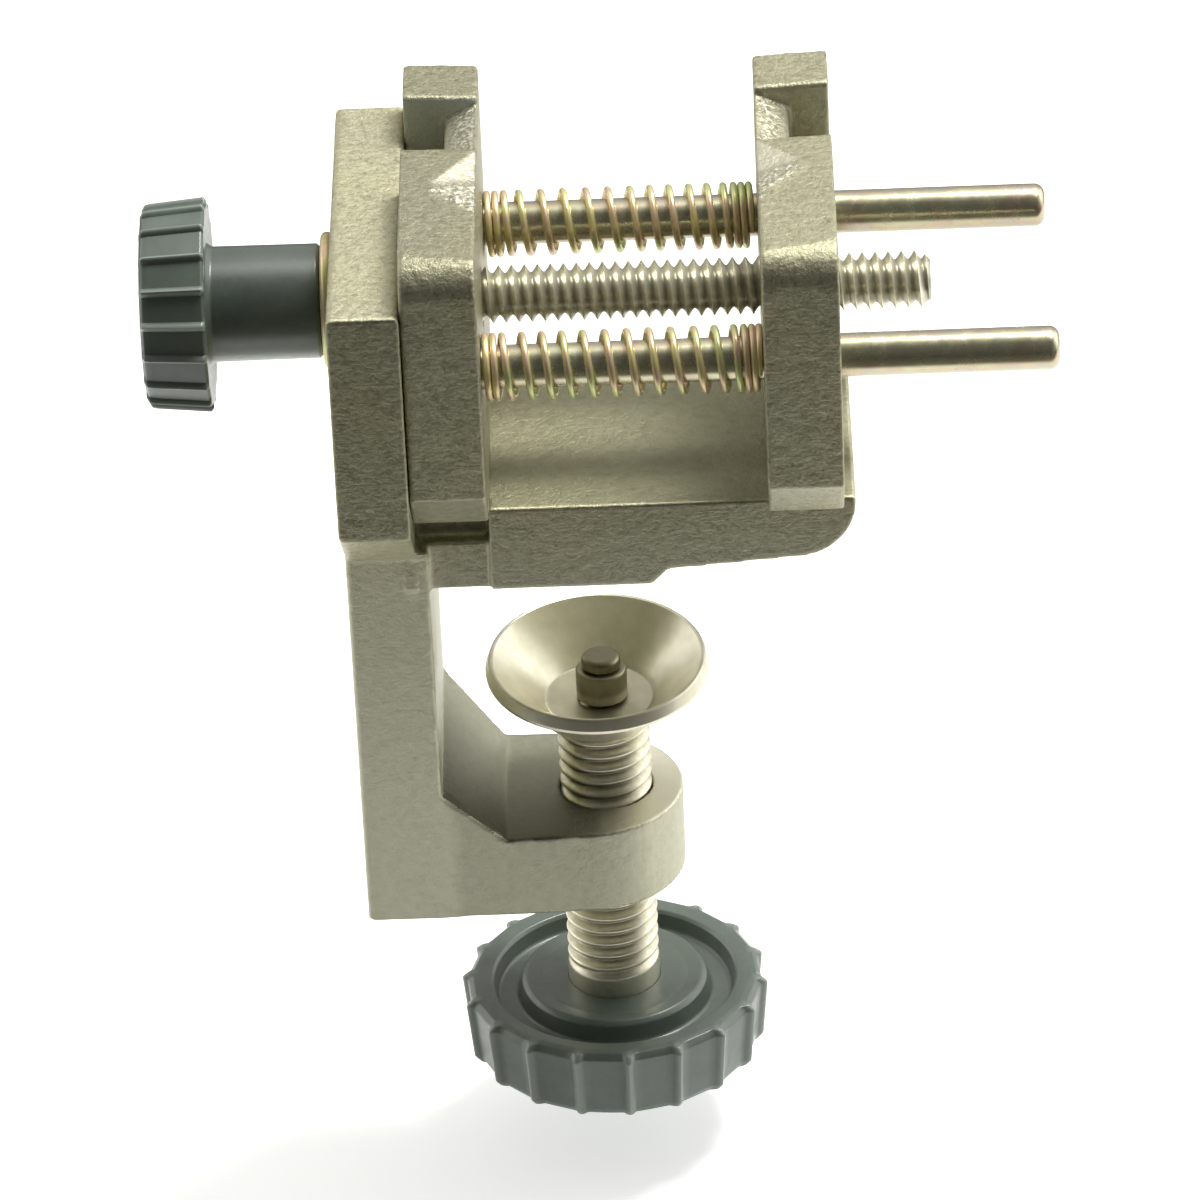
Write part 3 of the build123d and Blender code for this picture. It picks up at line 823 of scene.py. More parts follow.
class Scoop:
    """The ground facet in a jaw's gripping edge: a slope that starts on a straight
    line from the notch's corner to the valley's inner end, and a short rough slope
    that climbs back to the top by end_y. Inset is the distance from the grip; the
    sign is 1 where the jaw lies at lower X than its grip, -1 otherwise."""

    slope = 0.25

    def __init__(self, node, grip_x, sign, valley_inset, valley_y, end_y, climb):
        self.node, self.grip, self.sign = node, grip_x, sign
        self.valley_inset, self.valley_y, self.end_y = valley_inset, valley_y, end_y
        self.climb = climb
        self.top = high(node).z

    def inset(self, x):
        return (self.grip - x) * self.sign

    def top_at(self, inset):
        return self.top - JAW_FALL * (1 - inset / (6.15 * MM))

    def filler(self):
        """Fills the jaw up to its sloping top before the facet is sunk."""
        points = []
        for inset in (0.02 * MM, 5.6 * MM):
            for y in (-8.2 * MM, 2.6 * MM):
                x = self.grip - self.sign * inset
                points += [(x, y, self.top_at(inset)), (x, y, self.top - 3.2 * MM)]
        return hull_from("fill", points)

    def inside(self, inset, y):
        """Distances past the facet's two border lines, positive inside."""
        first = Vector((self.valley_inset, self.valley_y - NOTCH_Y)).normalized()
        second = Vector((-self.valley_inset, self.end_y - self.valley_y)).normalized()
        past_first = -(first.x * (y - NOTCH_Y) - first.y * inset)
        past_second = -(
            second.x * (y - self.valley_y) - second.y * (inset - self.valley_inset)
        )
        return past_first, past_second

    def sink(self, points):
        """How far each point drops to form the facet."""
        inset = self.inset(points[:, 0])
        clipped = np.clip(inset, 0, None)
        past_first, past_second = self.inside(clipped, points[:, 1])
        first, second = self.slope * past_first, self.climb * past_second
        # smooth minimum, so the valley is rounded
        width = 0.10 * MM
        least = np.minimum(first, second)
        blend = least - width * np.log(
            np.exp((least - first) / width) + np.exp((least - second) / width)
        )
        depth = np.clip(blend, 0, 1.15 * MM)
        foot = self.top - 4.5 * MM
        share = np.clip((points[:, 2] - foot) / (self.top_at(clipped) - foot), 0, 1)
        return depth * share * (inset > -0.3 * MM) * (inset < 6.3 * MM)

    def near_top(self, points, normals):
        return smoothstep(normals[:, 2], 0.3, 0.6) * smoothstep(
            points[:, 2], self.top - 3 * MM, self.top - 2.4 * MM
        )

    def rough(self, points, normals):
        """Sandy patch on the climbing slope."""
        inset = np.clip(self.inset(points[:, 0]), 0, None)
        past_first, past_second = self.inside(inset, points[:, 1])
        return (
            smoothstep(past_first, 0.1 * MM, 0.9 * MM)
            * smoothstep(past_second, -1.1 * MM, 0.5 * MM)
            * smoothstep(
                self.slope * past_first - self.climb * past_second, -0.05 * MM, 0.16 * MM
            )
            * (1 - smoothstep(inset, 4.0 * MM, 5.2 * MM))
            * self.near_top(points, normals)
        )

    def ground(self, points, normals):
        """Painted highlight on the facet: strongest on its main slope, weaker on the short
        climbing slope.
        """
        inset = np.clip(self.inset(points[:, 0]), 0, None)
        past_first, past_second = self.inside(inset, points[:, 1])
        valley = self.climb * past_second - self.slope * past_first
        return (
            smoothstep(past_first, 0.0, 0.25 * MM)
            * (0.30 + 0.45 * smoothstep(valley, -0.10 * MM, 0.10 * MM))
            * smoothstep(past_second, 0.0, 1.2 * MM)
            * self.near_top(points, normals)
        )

    def web(self, points, normals):
        """Sandy patch on the web in the notch."""
        inset = self.inset(points[:, 0])
        y, z = points[:, 1], points[:, 2]
        return (
            (1 - smoothstep(inset, 0.8 * MM, 3.2 * MM))
            * smoothstep(y, 3.0 * MM, 3.6 * MM)
            * (1 - smoothstep(y, 11.8 * MM, 12.4 * MM))
            * smoothstep(z, self.top - 6.2 * MM, self.top - 4.6 * MM)
            * smoothstep(inset, 0.1 * MM, 0.5 * MM)
        )

    def patches(self):
        """Mask, grit height and noise scale of each sandy patch."""
        return [(self.rough, 0.16 * MM, 2100.0), (self.web, 0.12 * MM, 1700.0)]

    def is_soft(self, point):
        """The web in the notch is well rounded."""
        return (
            1.3 * MM < self.inset(point.x) < 4.6 * MM
            and 3.9 * MM < point.y < 11.9 * MM
            and self.top - 6.1 * MM < point.z < self.top - 0.2 * MM
        )


# front corners in mm: x, y, z
BRACE_FRONT = (
    (-14.2, -8.40, -33.38), (-14.2, -9.06, -20.9), (-13.5, -9.04, -20.9),
    (-8.35, -8.49, -25.72), (-8.35, -8.25, -33.38),
)
ARM_FRONT = (
    (-8.4, -8.25, -33.38), (-8.4, -8.49, -25.72), (-1.6, -8.10, -25.72),
    (-1.6, -8.10, -33.38),
)


def front_slab(name, corners):
    front = [(x * MM, y * MM, z * MM) for x, y, z in corners]
    return hull_from(name, front + [(x, -6.0 * MM, z) for x, y, z in front])


def frame_extras():
    """Closes the play around the clamp screw so the tapped hole hugs its thread, and
    runs the arm's front flush into the column's."""
    bottom, top = -33.3 * MM, -25.74 * MM
    inner, outer = CLAMP_R + 0.05 * MM, CLAMP_R + 0.9 * MM
    profile = [(bottom, inner), (bottom, outer), (top, outer), (top, inner)]
    return [
        lathe("bore_ring", "Z", CLAMP_AXIS, profile, M_CAST),
        front_slab("brace_front", BRACE_FRONT),
        front_slab("arm_front", ARM_FRONT),
    ]


def jaw(scoop):
    node = scoop.node
    obj = casting(node, VOXEL * 0.8, M_JAW, [scoop.filler()], scoop)
    adopt(obj, "frame" if node == "fixed_jaw" else node, node)


adopt(casting("frame", VOXEL, M_CAST, frame_extras()), "frame", "frame")
jaw(Scoop("fixed_jaw", FIXED_GRIP, sign=1, valley_inset=4.07 * MM, valley_y=-3.0 * MM,
          end_y=-7.2 * MM, climb=0.15))
jaw(Scoop("moving_jaw", MOVING_GRIP, sign=-1, valley_inset=3.9 * MM, valley_y=-0.9 * MM,
          end_y=-6.0 * MM, climb=0.27))


# --------------------------------------------------------------------- guide rods
def guide_rod(node):
    start, end = low(node).x, high(node).x
    profile = collar_profile(start, end, 0, ROD_R, corners=(0.3 * MM, 1.1 * MM), steps=8)
    # one more ring keeps the shading flat up to the rounded right end
    ring = end - 1.0 * MM
    past = len([along for along, _ in profile if along > ring])
    profile.insert(-past, (ring, ROD_R))
    centre = (0, middle(node).y, LEAD_Z)
    obj = lathe(node + "_plated", "X", centre, profile, M_ROD, segs=80)
    adopt(obj, "frame", node)


guide_rod("guide_rod_front")
guide_rod("guide_rod_back")


# ------------------------------------------------------------------------ springs
WIRE_R = 0.290 * MM
WIRE_INSET = 0.30 * MM  # from the spring's outside to the wire's middle
TOP_ANGLE = math.radians(58.8)  # where on the coil its X is measured
TURN_STEPS, WIRE_SEGS = 44, 12
END_TURN = 0.35  # wire beyond the first and last measured coil
# X (mm) of each coil where it passes over the rod; closed coils at both ends
BACK_COILS = (
    -7.98, -7.32, -6.60, -5.35, -3.53, -1.71, 0.19, 2.01, 3.83, 5.48, 7.05, 8.71,
    10.20, 11.55, 12.42, 13.05, 13.68,
)
FRONT_COILS = (
    -7.95, -7.33, -6.60, -5.00, -3.40, -1.80, -0.12, 1.64, 3.40, 5.17, 6.93, 8.78,
    10.46, 12.00, 12.82, 13.45, 14.02,
)


def through_coils(knots, turns):
    """Smooth curve through the coil positions (Catmull-Rom), straight at the ends."""
    padded = np.concatenate(
        [[2 * knots[0] - knots[1]], knots, [2 * knots[-1] - knots[-2]]]
    )
    base = np.clip(np.floor(turns).astype(int), 0, len(knots) - 2)
    part = np.clip(turns - base, -0.5, 1.5)
    x0, x1, x2, x3 = (padded[base + k] for k in range(4))
    return 0.5 * (
        2 * x1 + (x2 - x0) * part + (2 * x0 - 5 * x1 + 4 * x2 - x3) * part**2
        + (3 * x1 - x0 - 3 * x2 + x3) * part**3
    )


def coil_spring(node, coils):
    """Closed coils at both ends and open coils between."""
    y = middle(node).y
    radius = half(node, "y") - WIRE_INSET
    first = FIXED_GRIP + WIRE_R + 0.02 * MM
    last = MOVING_GRIP - WIRE_R - 0.02 * MM
    knots = np.array(coils) * MM
    start, end = -END_TURN, len(coils) - 1 + END_TURN
    steps = int((end - start) * TURN_STEPS)
    turns = np.linspace(start, end, steps + 1)
    xs = np.clip(through_coils(knots, turns), first, last)
    verts, faces = [], []
    for i, turn in enumerate(turns):
        angle = TOP_ANGLE + 2 * math.pi * turn
        cos, sin = math.cos(angle), math.sin(angle)
        centre = Vector((xs[i], y + radius * cos, LEAD_Z + radius * sin))
        before, after = max(i - 1, 0), min(i + 1, steps)
        run = (turns[after] - turns[before]) * 2 * math.pi * radius
        tangent = Vector(((xs[after] - xs[before]) / run, -sin, cos)).normalized()
        out = Vector((0, cos, sin))
        side = tangent.cross(out).normalized()
        # the wire's cut ends are slightly thinner
        thin = 1.0 - 0.35 * max(0.0, 1 - min(i, steps - i) / 5.0)
        for j in range(WIRE_SEGS):
            around = 2 * math.pi * j / WIRE_SEGS
            offset = out * math.cos(around) + side * math.sin(around)
            verts.append(centre + offset * WIRE_R * thin)
    for i in range(steps):
        here, there = i * WIRE_SEGS, (i + 1) * WIRE_SEGS
        for j in range(WIRE_SEGS):
            k = (j + 1) % WIRE_SEGS
            faces.append((here + j, here + k, there + k, there + j))
    faces.append(tuple(range(WIRE_SEGS - 1, -1, -1)))
    faces.append(tuple(steps * WIRE_SEGS + j for j in range(WIRE_SEGS)))
    obj = new_object(node + "_wire", verts, faces, M_SPRING, sharp=50)
    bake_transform(obj)
    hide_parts(node)


coil_spring("spring_back", BACK_COILS)
coil_spring("spring_front", FRONT_COILS)


# ------------------------------------------------------------------------ threads
THREAD_STEPS = 12  # rows per pitch


def sharp_form(turn):
    """Share of the thread depth, crest at 0 and 1, with narrow crests."""
    crest = 0.07
    rise = min(abs(turn - 0.5) * 2 / (1 - crest), 1.0)
    return 1 - rise**1.5


def rounded_form(turn):
    return math.sin(math.pi * turn) ** 2


def boundary_loops(edit):
    """The open edges, grouped by the opening they surround."""
    left = {e for e in edit.edges if e.is_boundary}
    groups = []
    while left:
        edge = left.pop()
        group, stack = {edge}, [edge]
        while stack:
            for vert in stack.pop().verts:
                for linked in vert.link_edges:
                    if linked in left:
                        left.discard(linked)
                        group.add(linked)
                        stack.append(linked)
        groups.append(group)
    return groups


def thread_mesh(
    name, axis, centre, start, end, major, depth, pitch, material, phase, segs, form, fade
):
    """Right-hand thread: the grid follows the helix, so each crest is one clean
    edge. It deepens from nothing over the stretch fade. Both ends run past the blank
    that later trims it."""
    rows = int(math.ceil((end - start) / pitch * THREAD_STEPS)) + THREAD_STEPS
    verts = []
    for i in range(rows + 1):
        for j in range(segs):
            along = start + pitch * (i / THREAD_STEPS + j / segs) + phase * pitch
            full = major - depth * form((i / THREAD_STEPS) % 1.0)
            radius = major - (major - full) * float(smoothstep(along, *fade))
            verts.append(place(axis, along, radius, 2 * math.pi * j / segs, centre))

    def index(i, j):
        return i * segs + j if j < segs else (i + THREAD_STEPS) * segs

    faces = []
    for i in range(rows):
        for j in range(segs):
            if j + 1 == segs and i + 1 + THREAD_STEPS > rows:
                continue
            faces.append(
                (index(i, j), index(i + 1, j), index(i + 1, j + 1), index(i, j + 1))
            )
    mesh = bpy.data.meshes.new(name)
    mesh.from_pydata(verts, [], faces)
    with editing(mesh) as edit:
        loose = [v for v in edit.verts if not v.link_faces]
        bmesh.ops.delete(edit, geom=loose, context="VERTS")
        # close each end with a fan to the axis
        for group in boundary_loops(edit):
            rim = {v for e in group for v in e.verts}
            mean = sum((v.co for v in rim), Vector()) / len(rim)
            along = mean.x if axis == "X" else mean.z
            apex = edit.verts.new(place(axis, along, 0, 0, centre))
            for edge in group:
                edit.faces.new((edge.verts[0], edge.verts[1], apex))
        bmesh.ops.recalc_face_normals(edit, faces=edit.faces)
    mesh.materials.append(material)
    return add_object(name, mesh)


def leadscrew():
    end = high("leadscrew").x
    hub = high("leadscrew_knob").x
    thread = hub + 0.4 * MM
    obj = thread_mesh(
        "leadscrew_thread", "X", LEAD_AXIS, start=hub - 3 * MM, end=end + 1.6 * MM,
        major=LEAD_R, depth=LEAD_DEPTH, pitch=LEAD_PITCH, material=M_LEAD, phase=0.30,
        segs=72, form=sharp_form, fade=(thread, thread + 1.2 * MM),
    )
    start = hub - 1.2 * MM
    chamfer = 0.75 * MM
    blank_r = LEAD_R + 0.02 * MM
    profile = [
        (start, 0), (start, blank_r), (end - chamfer, blank_r), (end, LEAD_R - chamfer),
        (end, 0),
    ]
    boolean(obj, lathe("blank", "X", LEAD_AXIS, profile, M_LEAD, segs=72), "INTERSECT")
    one_material(obj, M_LEAD)
    finish_shading(obj, 42)
    adopt(obj, "leadscrew", "leadscrew")


leadscrew()


# -------------------------------------------------------------------- thumb knobs
RIBS = 18
RIB_PITCH = 2 * math.pi / RIBS
BEAD_STEPS, FACET_STEPS = 9, 4


def rib_angles(first):
    """Angles that put fine steps on each bead and coarse ones on each facet."""
    out = []
    half_bead = math.radians(2.7)
    for i in range(RIBS):
        centre = first + i * RIB_PITCH
        for k in range(BEAD_STEPS):
            out.append(centre - half_bead + 2 * half_bead * k / (BEAD_STEPS - 1))
        for k in range(1, FACET_STEPS + 1):
            step = (RIB_PITCH - 2 * half_bead) * k / (FACET_STEPS + 1)
            out.append(centre + half_bead + step)
    return out


def from_bead(angle, first):
    """Signed angle to the nearest bead."""
    return (angle - first + RIB_PITCH / 2) % RIB_PITCH - RIB_PITCH / 2


def rib_offset(angle, first, radius, drop, bead_height, bead_width):
    """Radius change around a knob with flat facets and a small bead on each
    corner."""
    from_facet = (angle - first) % RIB_PITCH - RIB_PITCH / 2
    flat = (radius - drop) * math.cos(RIB_PITCH / 2) / math.cos(from_facet) - radius
    away = abs(from_bead(angle, first)) * radius
    if away >= bead_width:
        return flat
    return flat + bead_height * max(0.0, 1 - (away / bead_width) ** 2) ** 0.7


def rib_share(along, radius, outline):
    """The share of the rib shape on the outline's nearest stretch."""
    best, value = math.inf, 0.0
    for (along0, radius0, share0, _), (along1, radius1, share1, _) in zip(
        outline, outline[1:]
    ):
        run, rise = along1 - along0, radius1 - radius0
        dot = (along - along0) * run + (radius - radius0) * rise
        part = max(0.0, min(1.0, dot / (run * run + rise * rise)))
        away = math.hypot(along - along0 - run * part, radius - radius0 - rise * part)
        if away < best - 1e-9:
            best, value = away, share0 + (share1 - share0) * part
    return value


def ribbed(name, axis, centre, outline, first, radius, drop, bead_height, bead_width):
    """Moulded ribbed knob. outline rows are along, radius, share of the rib shape,
    corner radius in mm."""
    profile = soften([(row[0], row[1], row[3] * MM) for row in outline], 3)
    shares = [rib_share(along, ring, outline) for along, ring in profile]
    obj = lathe(
        name, axis, centre, profile, M_PLASTIC, angles=rib_angles(first),
        shape=lambda k, angle: shares[k]
        * rib_offset(angle, first, radius, drop, bead_height, bead_width),
        sharp=38,
    )
    # painted highlight on the beads
    mask = []
    for vert in obj.data.vertices:
        x, y, z = vert.co - Vector(centre)
        across, other = (y, z) if axis == "X" else (x, y)
        reach = math.hypot(across, other)
        away = abs(from_bead(math.atan2(other, across), first)) * reach
        on_rim = reach > radius - 1.0 * MM
        mask.append(max(0.0, 1 - away / bead_width) if on_rim else 0.0)
    write_mask(obj, "edge", mask)
    return obj


def clamp_knob():
    hub = high("clamp_knob").z
    top = hub - 0.3 * MM
    foot = low("clamp_knob").z
    radius = 13.15 * MM
    low_r = radius - 0.5 * MM
    bore = CLAMP_R + 0.02 * MM
    outline = [
        (foot + 0.9 * MM, 0, 0, 0),
        (foot + 0.9 * MM, 5.6 * MM, 0, 0.3),
        (foot + 0.15 * MM, 6.4 * MM, 0, 0.3),
        (foot, radius - 3.6 * MM, 0, 0.6),
        (foot + 0.25 * MM, low_r - 1.5 * MM, 0.25, 0.4),
        (foot + 0.75 * MM, low_r - 0.45 * MM, 0.85, 0.35),
        (foot + 1.3 * MM, low_r, 1.0, 0.4),
        (top - 0.5 * MM, radius, 1.0, 0.3),
        (top - 0.08 * MM, radius - 0.55 * MM, 0.9, 0.3),
        (top, radius - 1.5 * MM, 0.2, 0.3),
        (top, 10.55 * MM, 0, 0.25),
        (top - 0.3 * MM, 10.3 * MM, 0, 0.2),
        (top - 1.65 * MM, 10.05 * MM, 0, 0.4),
        (top - 1.65 * MM, 8.25 * MM, 0, 0.4),
        (top - 0.1 * MM, 7.95 * MM, 0, 0.3),
        (hub - 0.02 * MM, 7.5 * MM, 0, 0.35),
        (hub - 0.22 * MM, 6.3 * MM, 0, 0.5),
        (hub - 0.16 * MM, bore, 0, 0.1),
        (hub - 1.4 * MM, bore, 0, 0),
        (hub - 1.4 * MM, 0, 0, 0),
    ]
    obj = ribbed(
        "clamp_knob_moulded", "Z", CLAMP_AXIS, outline, first=math.radians(15),
        radius=radius, drop=0.45 * MM, bead_height=0.45 * MM, bead_width=0.50 * MM,
    )
    adopt(obj, "clamp_screw", "clamp_knob")


def leadscrew_knob():
    start, end = low("leadscrew_knob").x, high("leadscrew_knob").x
    head = start + 5.35 * MM
    radius = 8.75 * MM
    low_r = radius - 0.40 * MM
    hub_r = 4.7 * MM
    bore = LEAD_R + 0.05 * MM
    outline = [
        (start + 0.30 * MM, 0, 0, 0),
        (start + 0.30 * MM, 4.9 * MM, 0, 0.4),
        (start + 0.03 * MM, 5.6 * MM, 0, 0.4),
        (start, low_r - 1.3 * MM, 0.35, 0.3),
        (start + 0.04 * MM, low_r - 0.55 * MM, 0.9, 0.2),
        (start + 0.30 * MM, low_r - 0.10 * MM, 1.0, 0.25),
        (start + 0.75 * MM, low_r, 1.0, 0.3),
        (head - 0.22 * MM, radius, 1.0, 0.15),
        (head, radius - 0.30 * MM, 0.9, 0.12),
        (head, radius - 1.3 * MM, 0.1, 0.2),
        (head - 0.25 * MM, hub_r + 1.2 * MM, 0, 0.4),
        (head - 0.12 * MM, hub_r + 0.35 * MM, 0, 0.3),
        (head + 0.3 * MM, hub_r + 0.02 * MM, 0, 0.3),
        (end - 0.3 * MM, hub_r - 0.02 * MM, 0, 0.15),
        (end, hub_r - 0.3 * MM, 0, 0.1),
        (end, bore, 0, 0),
        (end - 0.8 * MM, bore, 0, 0),
        (end - 0.8 * MM, 0, 0, 0),
    ]
    obj = ribbed(
        "leadscrew_knob_moulded", "X", LEAD_AXIS, outline, first=math.radians(3.2),
        radius=radius, drop=0.34 * MM, bead_height=0.36 * MM, bead_width=0.36 * MM,
    )
    adopt(obj, "leadscrew", "leadscrew_knob")


clamp_knob()
leadscrew_knob()


# ---------------------------------------------- washer, clamp screw, bush and pad
def thrust_washer():
    node = "thrust_washer"
    profile = collar_profile(
        low(node).x, high(node).x, inner=LEAD_R + 0.16 * MM, outer=half(node, "y"),
        corners=(0.5 * MM, 0.42 * MM), steps=6,
    )
    obj = lathe("thrust_washer_plated", "X", LEAD_AXIS, profile, M_WASHER, segs=96)
    adopt(obj, "leadscrew", node)


def clamp_screw():
    knob_top = high("clamp_knob").z - 0.2 * MM
    start = knob_top - 1.4 * MM
    shoulder = low("pad_bush").z - (PAD_GAP + PAD_WALL + 0.25 * MM)
    obj = thread_mesh(
        "clamp_screw_thread", "Z", CLAMP_AXIS, start=start - 3 * MM,
        end=shoulder + 1.6 * MM, major=CLAMP_R, depth=CLAMP_DEPTH, pitch=CLAMP_PITCH,
        material=M_CLAMP, phase=0.1, segs=80, form=rounded_form,
        fade=(knob_top + 1.5 * MM, knob_top + 2.9 * MM),
    )
    blank_r = CLAMP_R + 0.02 * MM
    profile = [
        (start, 0), (start, blank_r), (shoulder - 1.1 * MM, blank_r),
        (shoulder, CLAMP_R - 1.25 * MM), (shoulder, 0),
    ]
    boolean(obj, lathe("blank", "Z", CLAMP_AXIS, profile, M_CLAMP, segs=80), "INTERSECT")
    # the thin stub through pad and bush, with its riveted head
    stub_r, head_r = 1.35 * MM, 1.65 * MM
    head = high("pad_bush").z + 0.12 * MM
    tip = high("clamp_screw").z
    profile = soften(
        [(shoulder - 1 * MM, 0, 0), (shoulder - 1 * MM, stub_r, 0), (head, stub_r, 0),
         (head, head_r, 0.12 * MM), (tip, head_r, 0.45 * MM), (tip - 0.12 * MM, 0, 0)],
        5,
    )
    boolean(obj, lathe("stub", "Z", CLAMP_AXIS, profile, M_CLAMP, segs=48), "UNION")
    one_material(obj, M_CLAMP)
    finish_shading(obj, 42)
    adopt(obj, "clamp_screw", "clamp_screw")


def pad_bush():
    node = "pad_bush"
    profile = collar_profile(
        low(node).z, high(node).z, inner=1.43 * MM, outer=half(node, "y"),
        corners=(0.12 * MM, 0.3 * MM), steps=5,
    )
    obj = lathe("pad_bush_turned", "Z", CLAMP_AXIS, profile, M_BUSH, segs=64)
    adopt(obj, node, node)


def swivel_pad():
    """A conical cup that sits slightly tilted on the screw."""
    node = "swivel_pad"
    floor_z = low("pad_bush").z - PAD_GAP
    under = floor_z - PAD_WALL
    rim = floor_z + 4.2 * MM
    hole_r, floor_r, outer = 1.8 * MM, 4.5 * MM, half(node, "x")
    # z, radius, corner radius
    outline = [
        (floor_z, hole_r, 0),
        (floor_z, floor_r, 0.2 * MM),
        (rim - 0.06 * MM, outer - 0.66 * MM, 0.12 * MM),
        (rim, outer - 0.46 * MM, 0.12 * MM),
        (rim - 0.12 * MM, outer - 0.30 * MM, 0.12 * MM),
        (rim - 0.95 * MM, outer, 0.10 * MM),
        (rim - 1.25 * MM, outer - 0.05 * MM, 0.10 * MM),
        (rim - 1.45 * MM, outer - 0.35 * MM, 0.15 * MM),
        (rim - 1.80 * MM, outer - 1.20 * MM, 0.3 * MM),
        (under, floor_r + 0.5 * MM, 0.4 * MM),
        (under, hole_r, 0),
    ]
    obj = lathe(
        "swivel_pad_cup", "Z", CLAMP_AXIS, soften(outline, 5), M_NICKEL, segs=144, sharp=50
    )
    pivot = Vector((0, 0, floor_z - PAD_WALL / 2))
    obj.data.transform(
        Matrix.Translation((middle(node).x, 0, 0))
        @ Matrix.Translation(pivot)
        @ Matrix.Rotation(math.radians(4.5), 4, "X")
        @ Matrix.Translation(-pivot)
    )
    adopt(obj, node, node)


thrust_washer()
clamp_screw()
pad_bush()
swivel_pad()

# the jaw screws' heads on the column's outer face keep their CAD shape
NODES["jaw_screws"].data.materials.clear()
NODES["jaw_screws"].data.materials.append(M_JAWSCREW)


# ----------------------------------------------------------- floor, light, camera
def floor():
    """Pale floor, low enough for the clamp screw's lowest position. To the camera it
    is plain all over; what the metal mirrors is a white sheet that ends a little way
    in front of the object."""
    z = CAD_BOX[0].z - 0.0070
    size = 3.0
    mesh = bpy.data.meshes.new("floor")
    corners = [(-size, -size, z), (size, -size, z), (size, size, z), (-size, size, z)]
    mesh.from_pydata(corners, [], [(0, 1, 2, 3)])
    mat = Material("pale_floor")
    _, y, _ = mat.position()
    path = mat.add("ShaderNodeLightPath")
    cloud = mat.noise(scale=8, detail=3, rough=0.5)
    pale = mat.mix(
        mat.remap(cloud, span=(0.3, 0.7)), (0.90, 0.90, 0.905, 1), (0.92, 0.92, 0.92, 1)
    )
    front = mat.remap(y, span=(-0.100, -0.060), to=(1, 0))
    back = mat.remap(y, span=(0.16, 0.30))
    far = mat.math("MAXIMUM", front, back)
    sheet = mat.mix(far, pale, (0.088, 0.084, 0.070, 1))
    seen = path.outputs["Is Camera Ray"]
    colour = mat.mix(seen, sheet, pale)
    sheet_glow = mat.times(mat.math("SUBTRACT", 1.0, far), 0.16)
    glow = mat.math(
        "ADD", mat.times(seen, 0.46), mat.times(sheet_glow, mat.math("SUBTRACT", 1.0, seen))
    )
    mesh.materials.append(mat.finish(
        color=colour, rough=0.7, metallic=0.0, spec=0.1, emission=(1.0, 1.0, 0.99, 1),
        glow=glow,
    ))
    add_object("floor", mesh)


def key_light():
    """Soft rectangle above, right and behind, aimed at the origin."""
    light = bpy.data.lights.new("key_right", "AREA")
    light.shape = "RECTANGLE"
    light.size, light.size_y = 0.22, 0.20
    light.energy = 4.0
    light.color = (1.0, 0.995, 0.97)
    obj = bpy.data.objects.new("key_right", light)
    obj.location = (0.20, 0.14, 0.56)
    aim = Vector((0, 0, 0)) - Vector((0.20, 0.14, 0.56))
    obj.rotation_euler = aim.to_track_quat("-Z", "Y").to_euler()
    scene.collection.objects.link(obj)


# degrees from the front horizon over straight up (90) to the back horizon, brightness
SKY = (
    (0, 0.09), (62, 0.11), (84, 0.40), (100, 1.05), (112, 1.40), (128, 1.35),
    (142, 0.95), (156, 0.72), (180, 0.55),
)
SKY_GAIN = 3.0  # keeps the ramp's colours below 1
SKY_STRENGTH = 0.72


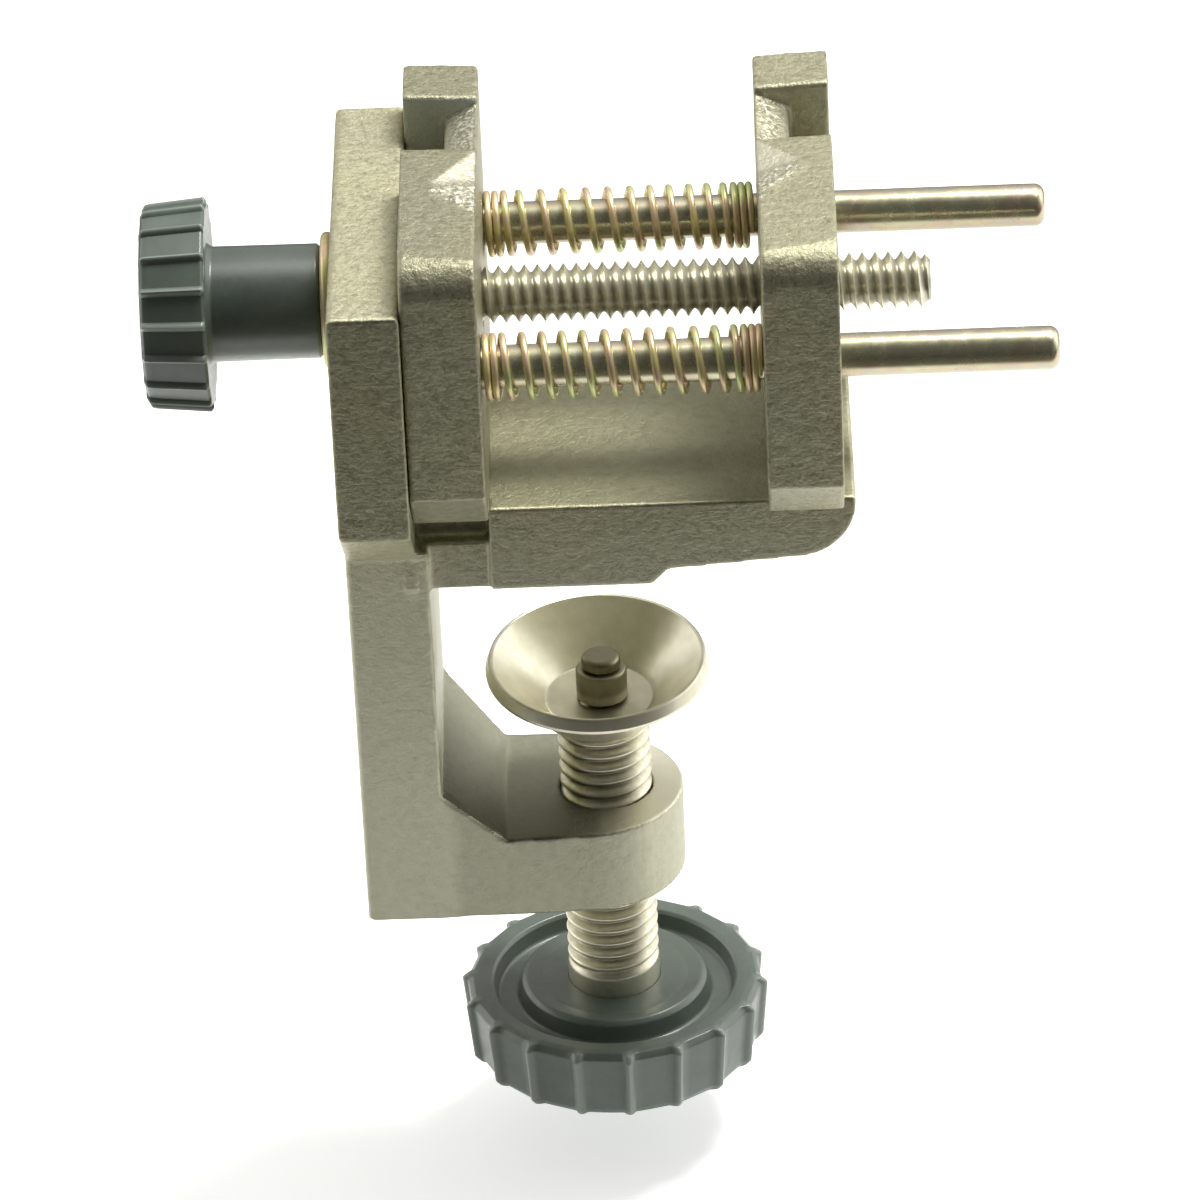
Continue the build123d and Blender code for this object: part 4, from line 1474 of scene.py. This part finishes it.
def studio():
    """Sky brightness by elevation, with soft boxes left and right, a little behind."""
    world = bpy.data.worlds.new("studio")
    scene.world = world
    world.use_nodes = True
    sky = Graph(world.node_tree)
    output = sky.add("ShaderNodeOutputWorld")
    background = sky.add("ShaderNodeBackground")
    x, y, z = sky.split(sky.add("ShaderNodeTexCoord").outputs["Generated"])
    turn = sky.math("DIVIDE", sky.math("ARCTAN2", z, sky.times(y, -1.0)), math.pi)
    stops = []
    for degrees, value in SKY:
        grey = value / SKY_GAIN
        stops.append((degrees / 180.0, (grey, grey, grey, 1)))
    arch = sky.ramp(turn, stops)

    def ease(value, span, to):
        return sky.remap(value, span, to, interpolation_type="SMOOTHSTEP")

    side = ease(sky.math("ABSOLUTE", x, 0.0), span=(0.38, 0.80), to=(0.0, 1.0))
    side = sky.times(side, ease(y, span=(-0.55, 0.15), to=(0.10, 1.0)))
    side = sky.times(side, ease(z, span=(0.85, 0.55), to=(0.0, 1.0)))
    balance = ease(x, span=(-0.1, 0.1), to=(1.45, 2.0))
    boxes = sky.times(sky.times(side, balance), 1.0 / SKY_GAIN)
    total = sky.mix(1.0, arch, boxes, "ADD")
    warm = sky.mix(1.0, total, (1.0, 0.995, 0.975, 1), "MULTIPLY")
    sky.put(background.inputs[0], warm)
    background.inputs[1].default_value = SKY_GAIN * SKY_STRENGTH
    sky.put(output.inputs[0], background.outputs[0])


def camera():
    azimuth, elevation, roll = (math.radians(v) for v in (1.06, 31.2, 2.54))
    distance = 0.664
    # where the leadscrew's axis at X = 0 stands from the middle of the view
    subject_right, subject_up = -1.281968 * MM, 25.156377 * MM
    back = Vector((
        math.sin(azimuth) * math.cos(elevation),
        -math.cos(azimuth) * math.cos(elevation),
        math.sin(elevation),
    ))
    level = Vector((math.cos(azimuth), math.sin(azimuth), 0))
    upright = back.cross(level)
    right = level * math.cos(roll) - upright * math.sin(roll)
    up = level * math.sin(roll) + upright * math.cos(roll)
    eye = Vector(LEAD_AXIS) - right * subject_right - up * subject_up + back * distance
    data = bpy.data.cameras.new("camera")
    data.sensor_width = 36.0
    data.lens = 244.57776
    data.clip_start, data.clip_end = 0.05, 20.0
    obj = bpy.data.objects.new("camera", data)
    rows = [(right[k], up[k], back[k], eye[k]) for k in range(3)]
    obj.matrix_world = Matrix((*rows, (0, 0, 0, 1)))
    scene.collection.objects.link(obj)
    scene.camera = obj


floor()
key_light()
studio()
camera()
scene.view_settings.view_transform = "Standard"
scene.view_settings.look = "None"
scene.cycles.use_denoising = True
